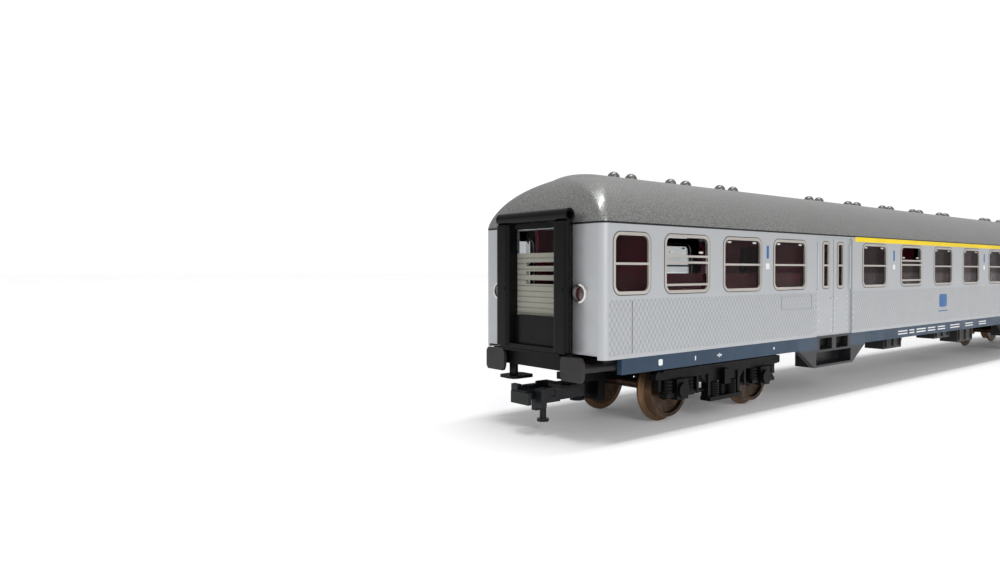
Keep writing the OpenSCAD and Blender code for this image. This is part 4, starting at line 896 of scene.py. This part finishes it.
class COACH_OT_stage(bpy.types.Operator):
    """Builds the pale floor, the soft lights and the camera."""
    bl_idname = "coach.stage"
    bl_label = "Stage"

    floor_radii = (0.5, 2.0, 8.0)
    floor_steps = 48
    glow_near, glow_far = (0.25, 0.12), (0.8, 0.6)  # distance out, strength
    key_at, key_to, key_size = (-0.3, -0.6, 0.3), (-0.1, 0, 0.03), (0.4, 0.3)
    top_at, top_to, top_size = (-0.05, -0.02, 0.8), (-0.05, 0, 0.03), (0.7, 0.12)
    background = 1.05
    eye_at = (-0.22565, -0.09683, 0.0289)
    eye_yaw, eye_pitch = 51.25, -0.892
    sensor_width = 36

    def floor(self):
        """A round pale floor that glows a little further out, so that it meets the background."""
        bm = bmesh.new()
        turns = [2 * math.pi * k / self.floor_steps for k in range(self.floor_steps)]
        rings = [[(r * math.cos(a), r * math.sin(a), 0) for a in turns] for r in self.floor_radii]
        rows = loop_ring(bm, rings, cap=False)
        bm.faces.new(rows[0])
        bmesh.ops.recalc_face_normals(bm, faces=bm.faces)
        mesh = bpy.data.meshes.new("floor")
        bm.to_mesh(mesh)
        bm.free()
        material, tree, shader = new_finish("floor_paper", 0.0, 0.6, 0.0, 0.3)
        pale = ramp(tree, noise(tree, 0.2, 2), (0.87, 0.87, 0.88), (0.9, 0.9, 0.91))
        tree.links.new(pale, shader.inputs["Base Color"])
        tree.links.new(pale, shader.inputs["Emission Color"])
        out = tree.nodes.new("ShaderNodeVectorMath")
        out.operation = "LENGTH"
        tree.links.new(place(tree), out.inputs[0])
        (start, near), (end, far) = self.glow_near, self.glow_far
        glow = spread(tree, out.outputs["Value"], near, far, start, end)
        tree.links.new(glow, shader.inputs["Emission Strength"])
        mesh.materials.append(material)
        floor = bpy.data.objects.new("floor", mesh)
        bpy.context.scene.collection.objects.link(floor)

    def softbox(self, name, at, target, size, power):
        """A soft rectangular light at one point, aimed at another."""
        light = bpy.data.lights.new(name, "AREA")
        light.shape = "RECTANGLE"
        light.size, light.size_y = size
        light.energy = power
        lamp = bpy.data.objects.new(name, light)
        lamp.location = at
        lamp.rotation_euler = (Vector(target) - Vector(at)).to_track_quat("-Z", "Y").to_euler()
        bpy.context.scene.collection.objects.link(lamp)

    def camera(self, lens):
        """The camera, level with the end door and looking along the near side."""
        data = bpy.data.cameras.new("camera")
        data.lens = lens
        data.sensor_width = self.sensor_width
        data.clip_start = 0.005
        data.clip_end = 50
        eye = bpy.data.objects.new("camera", data)
        yaw, pitch = math.radians(self.eye_yaw), math.radians(self.eye_pitch)
        ahead = Vector((math.cos(pitch) * math.cos(yaw), math.cos(pitch) * math.sin(yaw), math.sin(pitch)))
        eye.location = self.eye_at
        eye.rotation_euler = ahead.to_track_quat("-Z", "Y").to_euler()
        bpy.context.scene.collection.objects.link(eye)
        bpy.context.scene.camera = eye

    def execute(self, context):
        stage = context.scene.coach_stage
        self.floor()
        self.softbox("key_light", self.key_at, self.key_to, self.key_size, stage.key_power)
        self.softbox("top_light", self.top_at, self.top_to, self.top_size, stage.top_power)
        world = bpy.data.worlds.new("pale_room")
        world.use_nodes = True
        nodes, links = world.node_tree.nodes, world.node_tree.links
        seen = nodes.new("ShaderNodeLightPath").outputs["Is Camera Ray"]
        shade = nodes.new("ShaderNodeMapRange")
        shade.inputs["To Min"].default_value = stage.room_light
        shade.inputs["To Max"].default_value = self.background
        links.new(seen, shade.inputs["Value"])
        links.new(shade.outputs["Result"], nodes["Background"].inputs["Strength"])
        nodes["Background"].inputs["Color"].default_value = (1, 1, 1, 1)
        context.scene.world = world
        context.scene.view_settings.view_transform = "Standard"
        self.camera(stage.lens)
        return {"FINISHED"}


OPERATORS = (COACH_OT_stage, COACH_OT_walls, COACH_OT_roof, COACH_OT_windows, COACH_OT_printing,
             COACH_OT_doors, COACH_OT_interior, COACH_OT_underframe, COACH_OT_ends, COACH_OT_bogies,
             COACH_OT_couplings)
GROUPS = {"coach_paint": CoachPaint, "coach_trim": CoachTrim, "coach_stage": CoachStage}


class COACH_PT_looks(bpy.types.Panel):
    """Lists the coach's pieces and values in the sidebar."""
    bl_idname = "COACH_PT_looks"
    bl_label = "Passenger Coach"
    bl_space_type = "VIEW_3D"
    bl_region_type = "UI"
    bl_category = "Coach"

    def draw(self, context):
        for name, group in GROUPS.items():
            box = self.layout.box()
            for key in group.__annotations__:
                box.prop(getattr(context.scene, name), key)
        for operator in OPERATORS:
            self.layout.operator(operator.bl_idname)


def register():
    for cls in (*GROUPS.values(), *OPERATORS, COACH_PT_looks):
        bpy.utils.register_class(cls)
    for name, group in GROUPS.items():
        setattr(bpy.types.Scene, name, bpy.props.PointerProperty(type=group))


def unregister():
    for name in GROUPS:
        delattr(bpy.types.Scene, name)
    for cls in (COACH_PT_looks, *reversed(OPERATORS), *reversed(GROUPS.values())):
        bpy.utils.unregister_class(cls)


def main():
    register()
    bpy.ops.coach.stage()
    bpy.ops.coach.walls()
    bpy.ops.coach.roof()
    bpy.ops.coach.windows()
    bpy.ops.coach.printing()
    bpy.ops.coach.doors()
    bpy.ops.coach.interior()
    bpy.ops.coach.underframe()
    bpy.ops.coach.ends()
    bpy.ops.coach.bogies()
    bpy.ops.coach.couplings()


if __name__ == "__main__":
    main()
